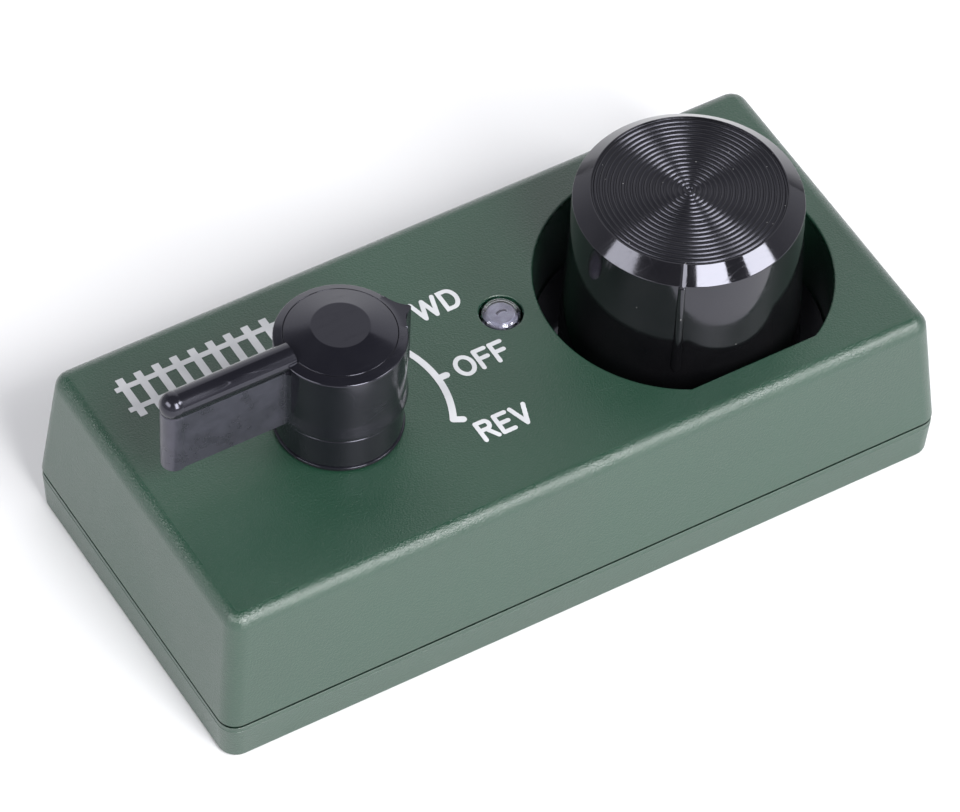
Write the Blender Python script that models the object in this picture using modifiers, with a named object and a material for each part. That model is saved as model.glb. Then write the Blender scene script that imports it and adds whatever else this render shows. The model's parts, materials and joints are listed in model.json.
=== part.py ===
"""A desk-top train set controller: a drafted two-part case with a speed dial in a round
well and a direction lever, and the parts that it holds inside.

Metres, +Z up. The origin is the centre of the face that the controller stands on, +X runs
along the case towards the dial, and +Y runs towards the back, where the sockets are.
Run it with blender --background --python part.py, or from Blender's text editor.
"""

import math

import bmesh
import bpy
from mathutils import Matrix, Vector

# Fits
GAP = 0.0003  # between pieces that touch on the real object
BITE = 0.001  # how far a shape reaches into the one that it is joined to
THROUGH = 0.001  # how far a cutter runs past the face that it cuts

# Case
CASE_LENGTH = 0.150
CASE_WIDTH = 0.0717
CASE_TOP_Z = 0.0357
PARTING_Z = 0.0092
PARTING_GAP = 0.0005
HOUSING_DRAFT = math.radians(5.0)
BASE_DRAFT = math.radians(3.0)
WALL = 0.0022
CORNER_RADIUS = 0.0034
TOP_FILLET = 0.0030
BASE_FILLET = 0.0006
LIP_WALL = 0.0014
LIP_HEIGHT = 0.0022
UNDERSIDE_Z = 0.0003

# Screws, bosses and feet
SCREW_INSET_X = 0.0095
SCREW_INSET_Y = 0.0090
SCREW_RADIUS = 0.0013
SCREW_HEAD_RADIUS = 0.0027
SCREW_HEAD_HEIGHT = 0.0016
SCREW_HEAD_DEPTH = 0.0008
SCREW_REACH = 0.0090
BOSS_WALL = 0.0016
FOOT_RADIUS = 0.0045
FOOT_THICKNESS = 0.0012
FOOT_INSET_X = 0.0210
FOOT_INSET_Y = 0.0100

# Controls: both axes stand on one line along the case
CONTROL_Y = -0.0019

# Speed dial and its well
DIAL_TOP_Z = 0.0584
DIAL_DISC_RADIUS = 0.0182
DIAL_SHOULDER_RADIUS = 0.02105
DIAL_SHOULDER_DROP = 0.0026
DIAL_FOOT_RADIUS = 0.0223
DIAL_FOOT_Z = 0.0196
DIAL_WALL = 0.0022
DIAL_CEILING = 0.0074
DIAL_INLAY_THICKNESS = 0.0008
DIAL_START = math.radians(235.0)
POINTER_RIB_WIDTH = 0.0013
POINTER_RIB_HEIGHT = 0.0005
POINTER_RIB_FOOT_Z = 0.0350
FINGER_GAP = 0.0052
WELL_END_MARGIN = 0.0085
WELL_FLAT_GAP = 0.00185
WELL_FLOOR_Z = 0.0168
WELL_WALL = 0.0018
WELL_PLATE_THICKNESS = 0.0008

# Speed control under the dial
SHAFT_RADIUS = 0.0030
POT_RADIUS = 0.0085
POT_HEIGHT = 0.0051
POT_SKIN = 0.0006
POT_CARD_LENGTH = 0.0136
POT_CARD_WIDTH = 0.0162
POT_CARD_OFFSET = 0.0026
BUSHING_RADIUS = 0.0045
BUSHING_FLANGE_RADIUS = 0.0062
BUSHING_FLANGE = 0.0007
BUSHING_LENGTH = 0.0082
NUT_RADIUS = 0.0072
NUT_HEIGHT = 0.0023
WASHER_RADIUS = 0.0070
WASHER_THICKNESS = 0.0006
DIAL_BOSS_RADIUS = 0.0050

# Direction lever
LEVER_END_DISTANCE = 0.0417
HUB_RADIUS = 0.0120
HUB_SKIRT = 0.0006
HUB_SKIRT_RISE = 0.0024
HUB_LEDGE = 0.0018
HUB_RIM_Z = 0.0599
HUB_FOOT_Z = 0.0444
HUB_WALL = 0.0020
HUB_CEILING = 0.0032
CAP_SLOPE = 0.0049
CAP_RISE = 0.0019
CAP_SEAT = 0.0015
ARM_LENGTH = 0.0335
ARM_THICKNESS = 0.0046
ARM_FOOT_Z = 0.0439
ARM_BEAD_RADIUS = 0.0025
ARM_BEAD_Z = 0.0593
POST_RADIUS = 0.00245
BALL_RADIUS = 0.00275
POINTER_LENGTH = 0.0143
POINTER_HALF_ANGLE = math.radians(16.5)
POINTER_TOP_Z = 0.0593
COLLAR_INSET = 0.0004
COLLAR_RING = 0.0003
COLLAR_RING_HEIGHT = 0.0008
COLLAR_NECK_RADIUS = 0.0080
COLLAR_BORE_RADIUS = 0.0054
COLLAR_NECK_DEPTH = 0.0045
CLIP_WALL = 0.0026
CLIP_THICKNESS = 0.0020

# Direction switch under the lever
SWITCH_SIZE = 0.0210
SWITCH_HEIGHT = 0.0120
SWITCH_TOP_Z = 0.0275
SWITCH_SKIN = 0.0012
SWITCH_BUSHING_LENGTH = 0.0080
SWITCH_BUSHING_WALL = 0.0018
ROTOR_RADIUS = 0.0072
ROTOR_THICKNESS = 0.0018

# Power light
LED_TO_WELL = 0.0063
LED_Y = 0.0062
LENS_RADIUS = 0.0038
LENS_FLANGE = 0.0012
LENS_PROUD = 0.0005
LED_RADIUS = 0.0025
LED_HEIGHT = 0.0070
LED_LEAD_RADIUS = 0.0003
LED_LEAD_PITCH = 0.00254

# Circuit board
BOARD_THICKNESS = 0.0016
BOARD_END_CLEARANCE = 0.0150
BOARD_SIDE_CLEARANCE = 0.0090
STANDOFF_HEIGHT = 0.0027
STANDOFF_RADIUS = 0.0030
BOARD_SCREW_RADIUS = 0.0011
BOARD_SCREW_HEAD_RADIUS = 0.0024
BOARD_SCREW_HEAD_HEIGHT = 0.0014
BOARD_SCREW_INSET = 0.0045
PIN_RADIUS = 0.0005
SINK_LENGTH = 0.0260
SINK_THICKNESS = 0.0025
SINK_HEIGHT = 0.0200
SINK_INSET = 0.0080
FIN_COUNT = 5
FIN_PITCH = 0.0058
FIN_THICKNESS = 0.0012
FIN_REACH = 0.0045
TRANSISTOR_SIZE = (0.0100, 0.0044, 0.0150)
CAPACITOR_RADIUS = 0.0050
CAPACITOR_HEIGHT = 0.0160
CAPACITOR_INSET = 0.0120
SMALL_CAPACITOR_SHARE = 0.75
RECTIFIER_SIZE = (0.0150, 0.0046, 0.0110)
RECTIFIER_INSET = 0.0060
CHIP_SIZE = (0.0098, 0.0064, 0.0035)
CHIP_TO_LED = 0.0140
BREAKER_SIZE = (0.0070, 0.0030, 0.0090)
BREAKER_TO_LEVER = (0.0200, 0.0161)
RESISTOR_RADIUS = 0.0019
RESISTOR_LENGTH = 0.0100

# Sockets at the back
SOCKET_Z = 0.0170
SOCKET_SET_BACK = 0.0008
JACK_INSET = 0.0190
JACK_SIZE = 0.0096
JACK_DEPTH = 0.0130
JACK_BORE_RADIUS = 0.0031
JACK_BORE_DEPTH = 0.0098
JACK_PIN_RADIUS = 0.0010
JACK_PIN_SET_BACK = 0.0020
TRACK_SOCKET_INSET = 0.0430
TRACK_SOCKET_WIDTH = 0.0150
TRACK_SOCKET_HEIGHT = 0.0092
TRACK_SOCKET_DEPTH = 0.0110
TRACK_SOCKET_WALL = 0.0012
TRACK_PIN_PITCH = 0.0060
TRACK_PIN_LENGTH = 0.0050
CONTACT_INSET = 0.0660
CONTACT_WIDTH = 0.0032
CONTACT_HEIGHT = 0.0080
CONTACT_THICKNESS = 0.0006
CONTACT_PITCH = 0.0064
CONTACT_BLOCK_DEPTH = 0.0040

# Vents in the base
VENT_COUNT = 7
VENT_PITCH = 0.0050
VENT_WIDTH = 0.0020
VENT_LENGTH = 0.0180

# How finely round things are cut
ROUND = 64
SMALL_ROUND = 24
CORNER_STEPS = 5

# Worked out from the values above
HOUSING_Z = PARTING_Z + PARTING_GAP / 2
BASE_TOP_Z = PARTING_Z - PARTING_GAP / 2
BASE_FLOOR_Z = UNDERSIDE_Z + WALL
CEILING_Z = CASE_TOP_Z - WALL
WELL_RADIUS = DIAL_FOOT_RADIUS + FINGER_GAP
DIAL_X = CASE_LENGTH / 2 - WELL_END_MARGIN - WELL_RADIUS
WELL_FLAT_Y = CONTROL_Y - DIAL_FOOT_RADIUS - WELL_FLAT_GAP
LEVER_X = -CASE_LENGTH / 2 + LEVER_END_DISTANCE
LED_X = DIAL_X - WELL_RADIUS - LED_TO_WELL
BOARD_Z = BASE_FLOOR_Z + STANDOFF_HEIGHT + GAP
BOARD_TOP_Z = BOARD_Z + BOARD_THICKNESS
BOSS_RADIUS = SCREW_RADIUS + GAP + BOSS_WALL
SHAFT_BORE = SHAFT_RADIUS + GAP
SOCKET_RECESS = WALL + SOCKET_SET_BACK
HUB_SKIRT_RADIUS = HUB_RADIUS + HUB_SKIRT
CAP_RADIUS = HUB_RADIUS - HUB_LEDGE
CAP_FLAT_RADIUS = CAP_RADIUS - CAP_SLOPE
COLLAR_RADIUS = HUB_RADIUS - COLLAR_INSET


# ---------------------------------------------------------------- scene and materials


def clear_scene():
    for obj in list(bpy.data.objects):
        bpy.data.objects.remove(obj, do_unlink=True)


def new_collection(name):
    collection = bpy.data.collections.new(name)
    bpy.context.scene.collection.children.link(collection)
    return collection


def new_material(name, color, roughness, metallic=0.0):
    material = bpy.data.materials.new(name)
    material.use_nodes = True
    shader = material.node_tree.nodes["Principled BSDF"]
    shader.inputs["Base Color"].default_value = (*color, 1.0)
    shader.inputs["Roughness"].default_value = roughness
    shader.inputs["Metallic"].default_value = metallic
    return material


clear_scene()
PARTS = new_collection("train_set_controller")
CUTTERS = new_collection("train_set_controller_cutters")

FINISHES = {
    "case": ((0.060, 0.110, 0.075), 0.48, 0.0),
    "black_gloss": ((0.010, 0.010, 0.012), 0.12, 0.0),
    "black_turned": ((0.035, 0.035, 0.038), 0.30, 0.3),
    "rubber": ((0.020, 0.020, 0.020), 0.85, 0.0),
    "steel": ((0.560, 0.560, 0.570), 0.32, 1.0),
    "brass": ((0.700, 0.520, 0.250), 0.30, 1.0),
    "aluminium": ((0.650, 0.660, 0.680), 0.40, 1.0),
    "lens": ((0.850, 0.870, 0.900), 0.08, 0.0),
    "board": ((0.035, 0.130, 0.060), 0.45, 0.0),
    "phenolic": ((0.180, 0.100, 0.045), 0.60, 0.0),
    "component": ((0.025, 0.025, 0.028), 0.45, 0.0),
    "sleeve": ((0.030, 0.050, 0.160), 0.35, 0.0),
    "socket": ((0.020, 0.020, 0.022), 0.40, 0.0),
}


# ---------------------------------------------------------------- shape tools


def add_object(name, mesh, finish=None, at=(0.0, 0.0, 0.0)):
    """Links a mesh as a visible part, or as a hidden cutter if it has no finish."""
    obj = bpy.data.objects.new(name, mesh)
    obj.location = at
    if finish:
        PARTS.objects.link(obj)
        mesh.materials.append(new_material(name, *FINISHES[finish]))
    else:
        CUTTERS.objects.link(obj)
        obj.hide_render = True
        obj.display_type = "WIRE"
    return obj


def mesh_from(bm, name):
    bmesh.ops.recalc_face_normals(bm, faces=bm.faces)
    mesh = bpy.data.meshes.new(name)
    bm.to_mesh(mesh)
    bm.free()
    return mesh


def shade_round(obj, angle=math.radians(35)):
    obj.data.shade_smooth()
    obj.data.set_sharp_from_angle(angle=angle)
    return obj


def box(name, size, at, finish=None, bevel=0.0):
    """A box whose lowest face is centred on at."""
    bm = bmesh.new()
    bmesh.ops.create_cube(bm, size=1.0)
    bmesh.ops.scale(bm, vec=size, verts=bm.verts)
    bmesh.ops.translate(bm, vec=(0, 0, size[2] / 2), verts=bm.verts)
    if bevel:
        bmesh.ops.bevel(bm, geom=bm.edges[:], offset=bevel, segments=2, profile=0.5, affect="EDGES")
    return add_object(name, mesh_from(bm, name), finish, at)


def cylinder(name, radius, height, at, finish=None, steps=SMALL_ROUND, along="Z"):
    """A cylinder that starts at at and runs up Z, or towards +Y."""
    bm = bmesh.new()
    bmesh.ops.create_cone(bm, cap_ends=True, segments=steps, radius1=radius, radius2=radius, depth=height)
    bmesh.ops.translate(bm, vec=(0, 0, height / 2), verts=bm.verts)
    if along == "Y":
        bmesh.ops.rotate(bm, matrix=Matrix.Rotation(-math.pi / 2, 3, "X"), verts=bm.verts)
    return shade_round(add_object(name, mesh_from(bm, name), finish, at))


def turned(name, profile, at, finish=None, steps=ROUND, closed=False):
    """A Screw of a profile of (radius, z) points that runs down its outer side."""
    count = len(profile)
    points = [(radius, 0.0, z) for radius, z in profile]
    edges = [(i, i + 1) for i in range(count - 1)]
    if closed:
        edges.append((count - 1, 0))
    mesh = bpy.data.meshes.new(name)
    mesh.from_pydata(points, edges, [])
    obj = add_object(name, mesh, finish, at)
    screw = obj.modifiers.new("turn", "SCREW")
    screw.axis = "Z"
    screw.angle = math.tau
    screw.steps = steps
    screw.render_steps = steps
    screw.use_merge_vertices = True
    screw.merge_threshold = 0.00001
    screw.use_smooth_shade = True
    return obj


def ring(name, inner, outer, low, high, at, finish=None, steps=SMALL_ROUND):
    profile = [(inner, high), (outer, high), (outer, low), (inner, low)]
    return turned(name, profile, at, finish, steps, closed=True)


def drafted_box(name, low, high, finish=None, corner=CORNER_RADIUS, fillet=0.0, fillet_z=None):
    """A box with round upright corners. low and high are (half length, half width, z)."""
    bm = bmesh.new()
    bmesh.ops.create_cube(bm, size=2.0)
    for vert in bm.verts:
        half_length, half_width, z = high if vert.co.z > 0 else low
        vert.co = Vector((math.copysign(half_length, vert.co.x), math.copysign(half_width, vert.co.y), z))
    upright = [edge for edge in bm.edges if abs(edge.verts[0].co.z - edge.verts[1].co.z) > GAP]
    bmesh.ops.bevel(bm, geom=upright, offset=corner, segments=CORNER_STEPS, profile=0.5, affect="EDGES")
    if fillet:
        rim = [
            edge for edge in bm.edges if all(abs(vert.co.z - fillet_z) < GAP / 10 for vert in edge.verts)
        ]
        bmesh.ops.bevel(bm, geom=rim, offset=fillet, segments=CORNER_STEPS, profile=0.5, affect="EDGES")
    return add_object(name, mesh_from(bm, name), finish)


def boolean(obj, cutter, operation="DIFFERENCE"):
    modifier = obj.modifiers.new(cutter.name, "BOOLEAN")
    modifier.operation = operation
    modifier.object = cutter
    return modifier


def cut(obj, *cutters):
    for cutter in cutters:
        boolean(obj, cutter)


def join(obj, *pieces):
    for piece in pieces:
        boolean(obj, piece, "UNION")


def wire(name, points, radius, finish):
    """A wire along straight stretches, as a tube with closed ends."""
    curve = bpy.data.curves.new(name, "CURVE")
    curve.dimensions = "3D"
    curve.bevel_depth = radius
    curve.bevel_resolution = 2
    curve.use_fill_caps = True
    spline = curve.splines.new("POLY")
    spline.points.add(len(points) - 1)
    for point, place in zip(spline.points, points):
        point.co = (*place, 1.0)
    curve.materials.append(new_material(name, *FINISHES[finish]))
    obj = bpy.data.objects.new(name, curve)
    PARTS.objects.link(obj)
    return obj


def half_size(z, draft, z_wide):
    """Half length and half width of the drafted case outline at z."""
    inset = abs(z - z_wide) * math.tan(draft)
    return CASE_LENGTH / 2 - inset, CASE_WIDTH / 2 - inset


def corners(inset_x, inset_y):
    """The four places that stand in from the case's corners, numbered from the front left."""
    x = CASE_LENGTH / 2 - inset_x
    y = CASE_WIDTH / 2 - inset_y
    return [(-x, -y), (x, -y), (x, y), (-x, y)]


def pivot(name, at):
    """The empty that stands on a joint's axis and carries the pieces that turn about it."""
    empty = bpy.data.objects.new(name, None)
    empty.location = at
    PARTS.objects.link(empty)
    return empty


def carry(empty, *pieces):
    for piece in pieces:
        piece.parent = empty
        piece.matrix_parent_inverse = Matrix.Translation(-empty.location)


# ---------------------------------------------------------------- case


def d_prism(name, radius, flat_y, low, high):
    """The dial well's outline, a circle cut off by a flat, as a prism about the dial's axis."""
    bm = bmesh.new()
    bmesh.ops.create_cone(
        bm, cap_ends=True, segments=ROUND, radius1=radius, radius2=radius, depth=high - low
    )
    bmesh.ops.translate(bm, vec=(DIAL_X, CONTROL_Y, (low + high) / 2), verts=bm.verts)
    whole = bm.verts[:] + bm.edges[:] + bm.faces[:]
    cut_through = bmesh.ops.bisect_plane(
        bm, geom=whole, dist=1e-7, plane_co=(0, flat_y, 0), plane_no=(0, -1, 0), clear_outer=True
    )
    rim = [part for part in cut_through["geom_cut"] if isinstance(part, bmesh.types.BMEdge)]
    bmesh.ops.edgeloop_fill(bm, edges=rim)
    return add_object(name, mesh_from(bm, name))


def make_housing():
    low = (*half_size(HOUSING_Z, HOUSING_DRAFT, PARTING_Z), HOUSING_Z)
    high = (*half_size(CASE_TOP_Z, HOUSING_DRAFT, PARTING_Z), CASE_TOP_Z)
    housing = drafted_box("upper_housing", low, high, "case", fillet=TOP_FILLET, fillet_z=CASE_TOP_Z)
    bm = bmesh.new()
    bm.from_mesh(housing.data)
    floor = [face for face in bm.faces if all(abs(vert.co.z - HOUSING_Z) < GAP / 10 for vert in face.verts)]
    bmesh.ops.delete(bm, geom=floor, context="FACES")
    bm.to_mesh(housing.data)
    bm.free()
    shell = housing.modifiers.new("shell", "SOLIDIFY")
    shell.thickness = WALL
    shell.offset = -1.0
    shell.use_even_offset = True

    boss_low = BASE_FLOOR_Z + SCREW_HEAD_DEPTH + 2 * GAP + BOSS_WALL
    boss_high = CEILING_Z + BITE
    for number, (x, y) in enumerate(corners(SCREW_INSET_X, SCREW_INSET_Y), 1):
        boss = cylinder(f"boss_{number}", BOSS_RADIUS, boss_high - boss_low, (x, y, boss_low))
        pilot_length = SCREW_REACH + GAP + THROUGH
        pilot = cylinder(f"pilot_{number}", SCREW_RADIUS + GAP, pilot_length, (x, y, boss_low - THROUGH))
        join(housing, boss)
        cut(housing, pilot)

    well_bottom = WELL_FLOOR_Z - WELL_WALL
    well_wall = d_prism(
        "well_wall", WELL_RADIUS + WELL_WALL, WELL_FLAT_Y - WELL_WALL, well_bottom, CEILING_Z + BITE
    )
    join(housing, well_wall)
    bushing_hole = cylinder(
        "bushing_hole", BUSHING_RADIUS + GAP, WELL_WALL + 2 * THROUGH, (
            DIAL_X, CONTROL_Y, well_bottom - THROUGH
        )
    )
    collar_hole = cylinder(
        "collar_hole", COLLAR_NECK_RADIUS + GAP, WALL + 2 * THROUGH, (LEVER_X, CONTROL_Y, CEILING_Z - THROUGH), steps=48
    )
    lens_hole = cylinder(
        "lens_hole", LENS_RADIUS + GAP, WALL + 2 * THROUGH, (LED_X, LED_Y, CEILING_Z - THROUGH)
    )
    cut(housing, d_prism("well_space", WELL_RADIUS, WELL_FLAT_Y, WELL_FLOOR_Z, CASE_TOP_Z + THROUGH))
    cut(housing, bushing_hole, collar_hole, lens_hole, *socket_cutters())
    return shade_round(housing, math.radians(30))


def make_base():
    low = (*half_size(UNDERSIDE_Z, BASE_DRAFT, PARTING_Z), UNDERSIDE_Z)
    high = (*half_size(BASE_TOP_Z, BASE_DRAFT, PARTING_Z), BASE_TOP_Z)
    base = drafted_box("base_plate", low, high, "case", fillet=BASE_FILLET, fillet_z=UNDERSIDE_Z)

    inset = WALL / math.cos(HOUSING_DRAFT) + LIP_HEIGHT * math.tan(HOUSING_DRAFT) + GAP
    lip_length = CASE_LENGTH / 2 - inset
    lip_width = CASE_WIDTH / 2 - inset
    lip_top = BASE_TOP_Z + LIP_HEIGHT
    lip_corner = CORNER_RADIUS - WALL / 2
    lip = drafted_box(
        "lip", (lip_length, lip_width, BASE_TOP_Z - BITE), (lip_length, lip_width, lip_top), corner=lip_corner
    )
    room_length = lip_length - LIP_WALL
    room_width = lip_width - LIP_WALL
    room = drafted_box(
        "base_room",
        (room_length, room_width, BASE_FLOOR_Z),
        (room_length, room_width, lip_top + THROUGH),
        corner=lip_corner / 2,
    )
    join(base, lip)
    cut(base, room)

    head_z = UNDERSIDE_Z - THROUGH
    head_room = THROUGH + SCREW_HEAD_DEPTH + SCREW_HEAD_HEIGHT + GAP
    pad_radius = SCREW_HEAD_RADIUS + BOSS_WALL
    pad_height = SCREW_HEAD_DEPTH + GAP + BOSS_WALL
    for number, (x, y) in enumerate(corners(SCREW_INSET_X, SCREW_INSET_Y), 1):
        pad = cylinder(f"pad_{number}", pad_radius, pad_height + BITE, (x, y, BASE_FLOOR_Z - BITE))
        head = cylinder(f"head_{number}", SCREW_HEAD_RADIUS + GAP, head_room, (x, y, head_z))
        hole = cylinder(f"hole_{number}", SCREW_RADIUS + GAP, pad_height + WALL, (x, y, UNDERSIDE_Z))
        join(base, pad)
        cut(base, head, hole)

    recess = THROUGH + FOOT_THICKNESS - UNDERSIDE_Z + GAP
    for number, (x, y) in enumerate(corners(FOOT_INSET_X, FOOT_INSET_Y), 1):
        cut(base, cylinder(f"foot_seat_{number}", FOOT_RADIUS + GAP, recess, (x, y, UNDERSIDE_Z - THROUGH)))

    for number, (x, y) in enumerate(board_screw_places(), 1):
        post = cylinder(
            f"standoff_{number}", STANDOFF_RADIUS, STANDOFF_HEIGHT + BITE, (x, y, BASE_FLOOR_Z - BITE)
        )
        pilot_length = STANDOFF_HEIGHT + THROUGH
        pilot = cylinder(
            f"board_pilot_{number}", BOARD_SCREW_RADIUS + GAP, pilot_length, (x, y, BASE_FLOOR_Z)
        )
        join(base, post)
        cut(base, pilot)

    for number in range(VENT_COUNT):
        x = (number - (VENT_COUNT - 1) / 2) * VENT_PITCH
        vent = box(
            f"vent_{number}", (VENT_WIDTH, VENT_LENGTH, WALL + 2 * THROUGH), (x, 0, UNDERSIDE_Z - THROUGH)
        )
        cut(base, vent)
    return shade_round(base, math.radians(30))


def make_case_screws_and_feet():
    head_z = UNDERSIDE_Z + SCREW_HEAD_DEPTH
    length = SCREW_HEAD_HEIGHT + BOSS_WALL + GAP + SCREW_REACH
    for number, (x, y) in enumerate(corners(SCREW_INSET_X, SCREW_INSET_Y), 1):
        profile = [
            (0, length),
            (SCREW_RADIUS, length),
            (SCREW_RADIUS, SCREW_HEAD_HEIGHT),
            (SCREW_HEAD_RADIUS, SCREW_HEAD_HEIGHT),
            (SCREW_HEAD_RADIUS, SCREW_HEAD_HEIGHT / 4),
            (SCREW_HEAD_RADIUS * 0.8, 0),
            (0, 0),
        ]
        turned(f"case_screw_{number}", profile, (x, y, head_z), "steel", steps=16)
    for number, (x, y) in enumerate(corners(FOOT_INSET_X, FOOT_INSET_Y), 1):
        cylinder(f"rubber_foot_{number}", FOOT_RADIUS, FOOT_THICKNESS, (x, y, 0), "rubber")


# ---------------------------------------------------------------- speed dial


def dial_radius(z):
    """Radius of the dial's drafted side at z."""
    shoulder_z = DIAL_TOP_Z - DIAL_SHOULDER_DROP
    share = (shoulder_z - z) / (shoulder_z - DIAL_FOOT_Z)
    return DIAL_SHOULDER_RADIUS + share * (DIAL_FOOT_RADIUS - DIAL_SHOULDER_RADIUS)


def make_dial(carrier):
    seat_z = DIAL_TOP_Z - DIAL_INLAY_THICKNESS - GAP
    ceiling_z = DIAL_TOP_Z - DIAL_CEILING
    shoulder_z = DIAL_TOP_Z - DIAL_SHOULDER_DROP
    shaft_top = ceiling_z - GAP
    boss_z = bushing_top() + BITE
    seat_radius = DIAL_DISC_RADIUS - GAP / 2
    profile = [
        (0, seat_z),
        (seat_radius, seat_z),
        (seat_radius, DIAL_TOP_Z),
        (DIAL_DISC_RADIUS + GAP, DIAL_TOP_Z),
        (DIAL_SHOULDER_RADIUS, shoulder_z),
        (DIAL_FOOT_RADIUS, DIAL_FOOT_Z + GAP),
        (DIAL_FOOT_RADIUS - GAP, DIAL_FOOT_Z),
        (DIAL_FOOT_RADIUS - DIAL_WALL, DIAL_FOOT_Z),
        (dial_radius(ceiling_z) - DIAL_WALL, ceiling_z),
        (DIAL_BOSS_RADIUS, ceiling_z),
        (DIAL_BOSS_RADIUS, boss_z),
        (SHAFT_BORE, boss_z),
        (SHAFT_BORE, shaft_top + GAP),
        (0, shaft_top + GAP),
    ]
    place = (DIAL_X, CONTROL_Y, 0)
    dial = turned("speed_dial", profile, place, "black_gloss")

    lean = math.atan2(DIAL_FOOT_RADIUS - DIAL_SHOULDER_RADIUS, shoulder_z - DIAL_FOOT_Z)
    rib_length = (shoulder_z - GAP - POINTER_RIB_FOOT_Z) / math.cos(lean)
    rib_depth = POINTER_RIB_HEIGHT + DIAL_WALL / 2
    rib = box(
        "pointer_rib", (rib_depth, POINTER_RIB_WIDTH, rib_length), (0, 0, 0), bevel=POINTER_RIB_HEIGHT / 2
    )
    foot_radius = dial_radius(POINTER_RIB_FOOT_Z) + POINTER_RIB_HEIGHT - rib_depth / 2
    rib.matrix_world = (
        Matrix.Translation((DIAL_X, CONTROL_Y, POINTER_RIB_FOOT_Z))
        @ Matrix.Rotation(DIAL_START, 4, "Z")
        @ Matrix.Translation((foot_radius, 0, 0))
        @ Matrix.Rotation(-lean, 4, "Y")
    )
    join(dial, rib)

    inlay = cylinder(
        "dial_inlay", seat_radius - GAP, DIAL_INLAY_THICKNESS, (DIAL_X, CONTROL_Y, seat_z + GAP), "black_turned", ROUND
    )
    shaft_foot = pot_floor_z() + POT_SKIN
    shaft_place = (DIAL_X, CONTROL_Y, shaft_foot)
    shaft = cylinder("pot_shaft", SHAFT_RADIUS, shaft_top - shaft_foot, shaft_place, "aluminium")
    clip_z = boss_z + BITE
    clip = ring(
        "dial_spring_clip",
        DIAL_BOSS_RADIUS + GAP,
        DIAL_BOSS_RADIUS + GAP + POT_SKIN,
        clip_z,
        clip_z + 2 * DIAL_BOSS_RADIUS,
        place,
        "steel",
    )
    wiper_z = shaft_foot + POT_SKIN
    wiper = ring(
        "pot_wiper", SHAFT_BORE, POT_RADIUS - POT_SKIN - 2 * GAP, wiper_z, wiper_z + WASHER_THICKNESS, place, "brass"
    )
    carry(carrier, dial, inlay, shaft, clip, wiper)


def pot_top_z():
    return WELL_FLOOR_Z - WELL_WALL - GAP - BUSHING_FLANGE - GAP


def pot_floor_z():
    return pot_top_z() - POT_HEIGHT


def bushing_top():
    return pot_top_z() + GAP + BUSHING_FLANGE + BUSHING_LENGTH


def make_speed_control():
    """The well's black floor plate, and the control whose bushing comes up through it."""
    plate_z = WELL_FLOOR_Z + GAP
    plate_top = plate_z + WELL_PLATE_THICKNESS
    plate = d_prism("well_plate_outline", WELL_RADIUS - GAP, WELL_FLAT_Y + GAP, plate_z, plate_top)
    plate_part = add_object("well_plate", plate.data.copy(), "black_gloss")
    bpy.data.objects.remove(plate)
    plate_hole = cylinder(
        "plate_hole",
        BUSHING_RADIUS + GAP,
        WELL_PLATE_THICKNESS + 2 * THROUGH,
        (DIAL_X, CONTROL_Y, plate_z - THROUGH),
    )
    cut(plate_part, plate_hole)

    place = (DIAL_X, CONTROL_Y, 0)
    top = pot_top_z()
    cup = [
        (SHAFT_BORE, top),
        (POT_RADIUS, top),
        (POT_RADIUS, pot_floor_z()),
        (POT_RADIUS - POT_SKIN, pot_floor_z()),
        (POT_RADIUS - POT_SKIN, top - POT_SKIN),
        (SHAFT_BORE, top - POT_SKIN),
    ]
    turned("pot_body", cup, place, "steel", steps=48, closed=True)
    flange_z = top + GAP
    bushing = [
        (SHAFT_BORE, bushing_top()),
        (BUSHING_RADIUS, bushing_top()),
        (BUSHING_RADIUS, flange_z + BUSHING_FLANGE),
        (BUSHING_FLANGE_RADIUS, flange_z + BUSHING_FLANGE),
        (BUSHING_FLANGE_RADIUS, flange_z),
        (SHAFT_BORE, flange_z),
    ]
    turned("pot_bushing", bushing, place, "brass", steps=SMALL_ROUND, closed=True)
    washer_z = plate_top + GAP
    ring(
        "pot_washer",
        BUSHING_RADIUS + GAP,
        WASHER_RADIUS,
        washer_z,
        washer_z + WASHER_THICKNESS,
        place,
        "steel",
    )
    nut_z = washer_z + WASHER_THICKNESS + GAP
    nut = cylinder("pot_nut", NUT_RADIUS, NUT_HEIGHT, (DIAL_X, CONTROL_Y, nut_z), "brass", steps=6)
    cut(
        nut,
        cylinder(
            "nut_bore", BUSHING_RADIUS + GAP, NUT_HEIGHT + 2 * THROUGH, (DIAL_X, CONTROL_Y, nut_z - THROUGH)
        ),
    )

    card_height = pot_floor_z() - GAP - (BOARD_TOP_Z + GAP)
    box(
        "pot_terminal_card",
        (POT_CARD_LENGTH, POT_CARD_WIDTH, card_height),
        (DIAL_X, CONTROL_Y - POT_CARD_OFFSET, BOARD_TOP_Z + GAP),
        "phenolic",
    )


# ---------------------------------------------------------------- direction lever


def collar_top_z():
    return min(HUB_FOOT_Z, ARM_FOOT_Z) - GAP


def switch_bushing_radius():
    return SHAFT_BORE + SWITCH_BUSHING_WALL


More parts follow.
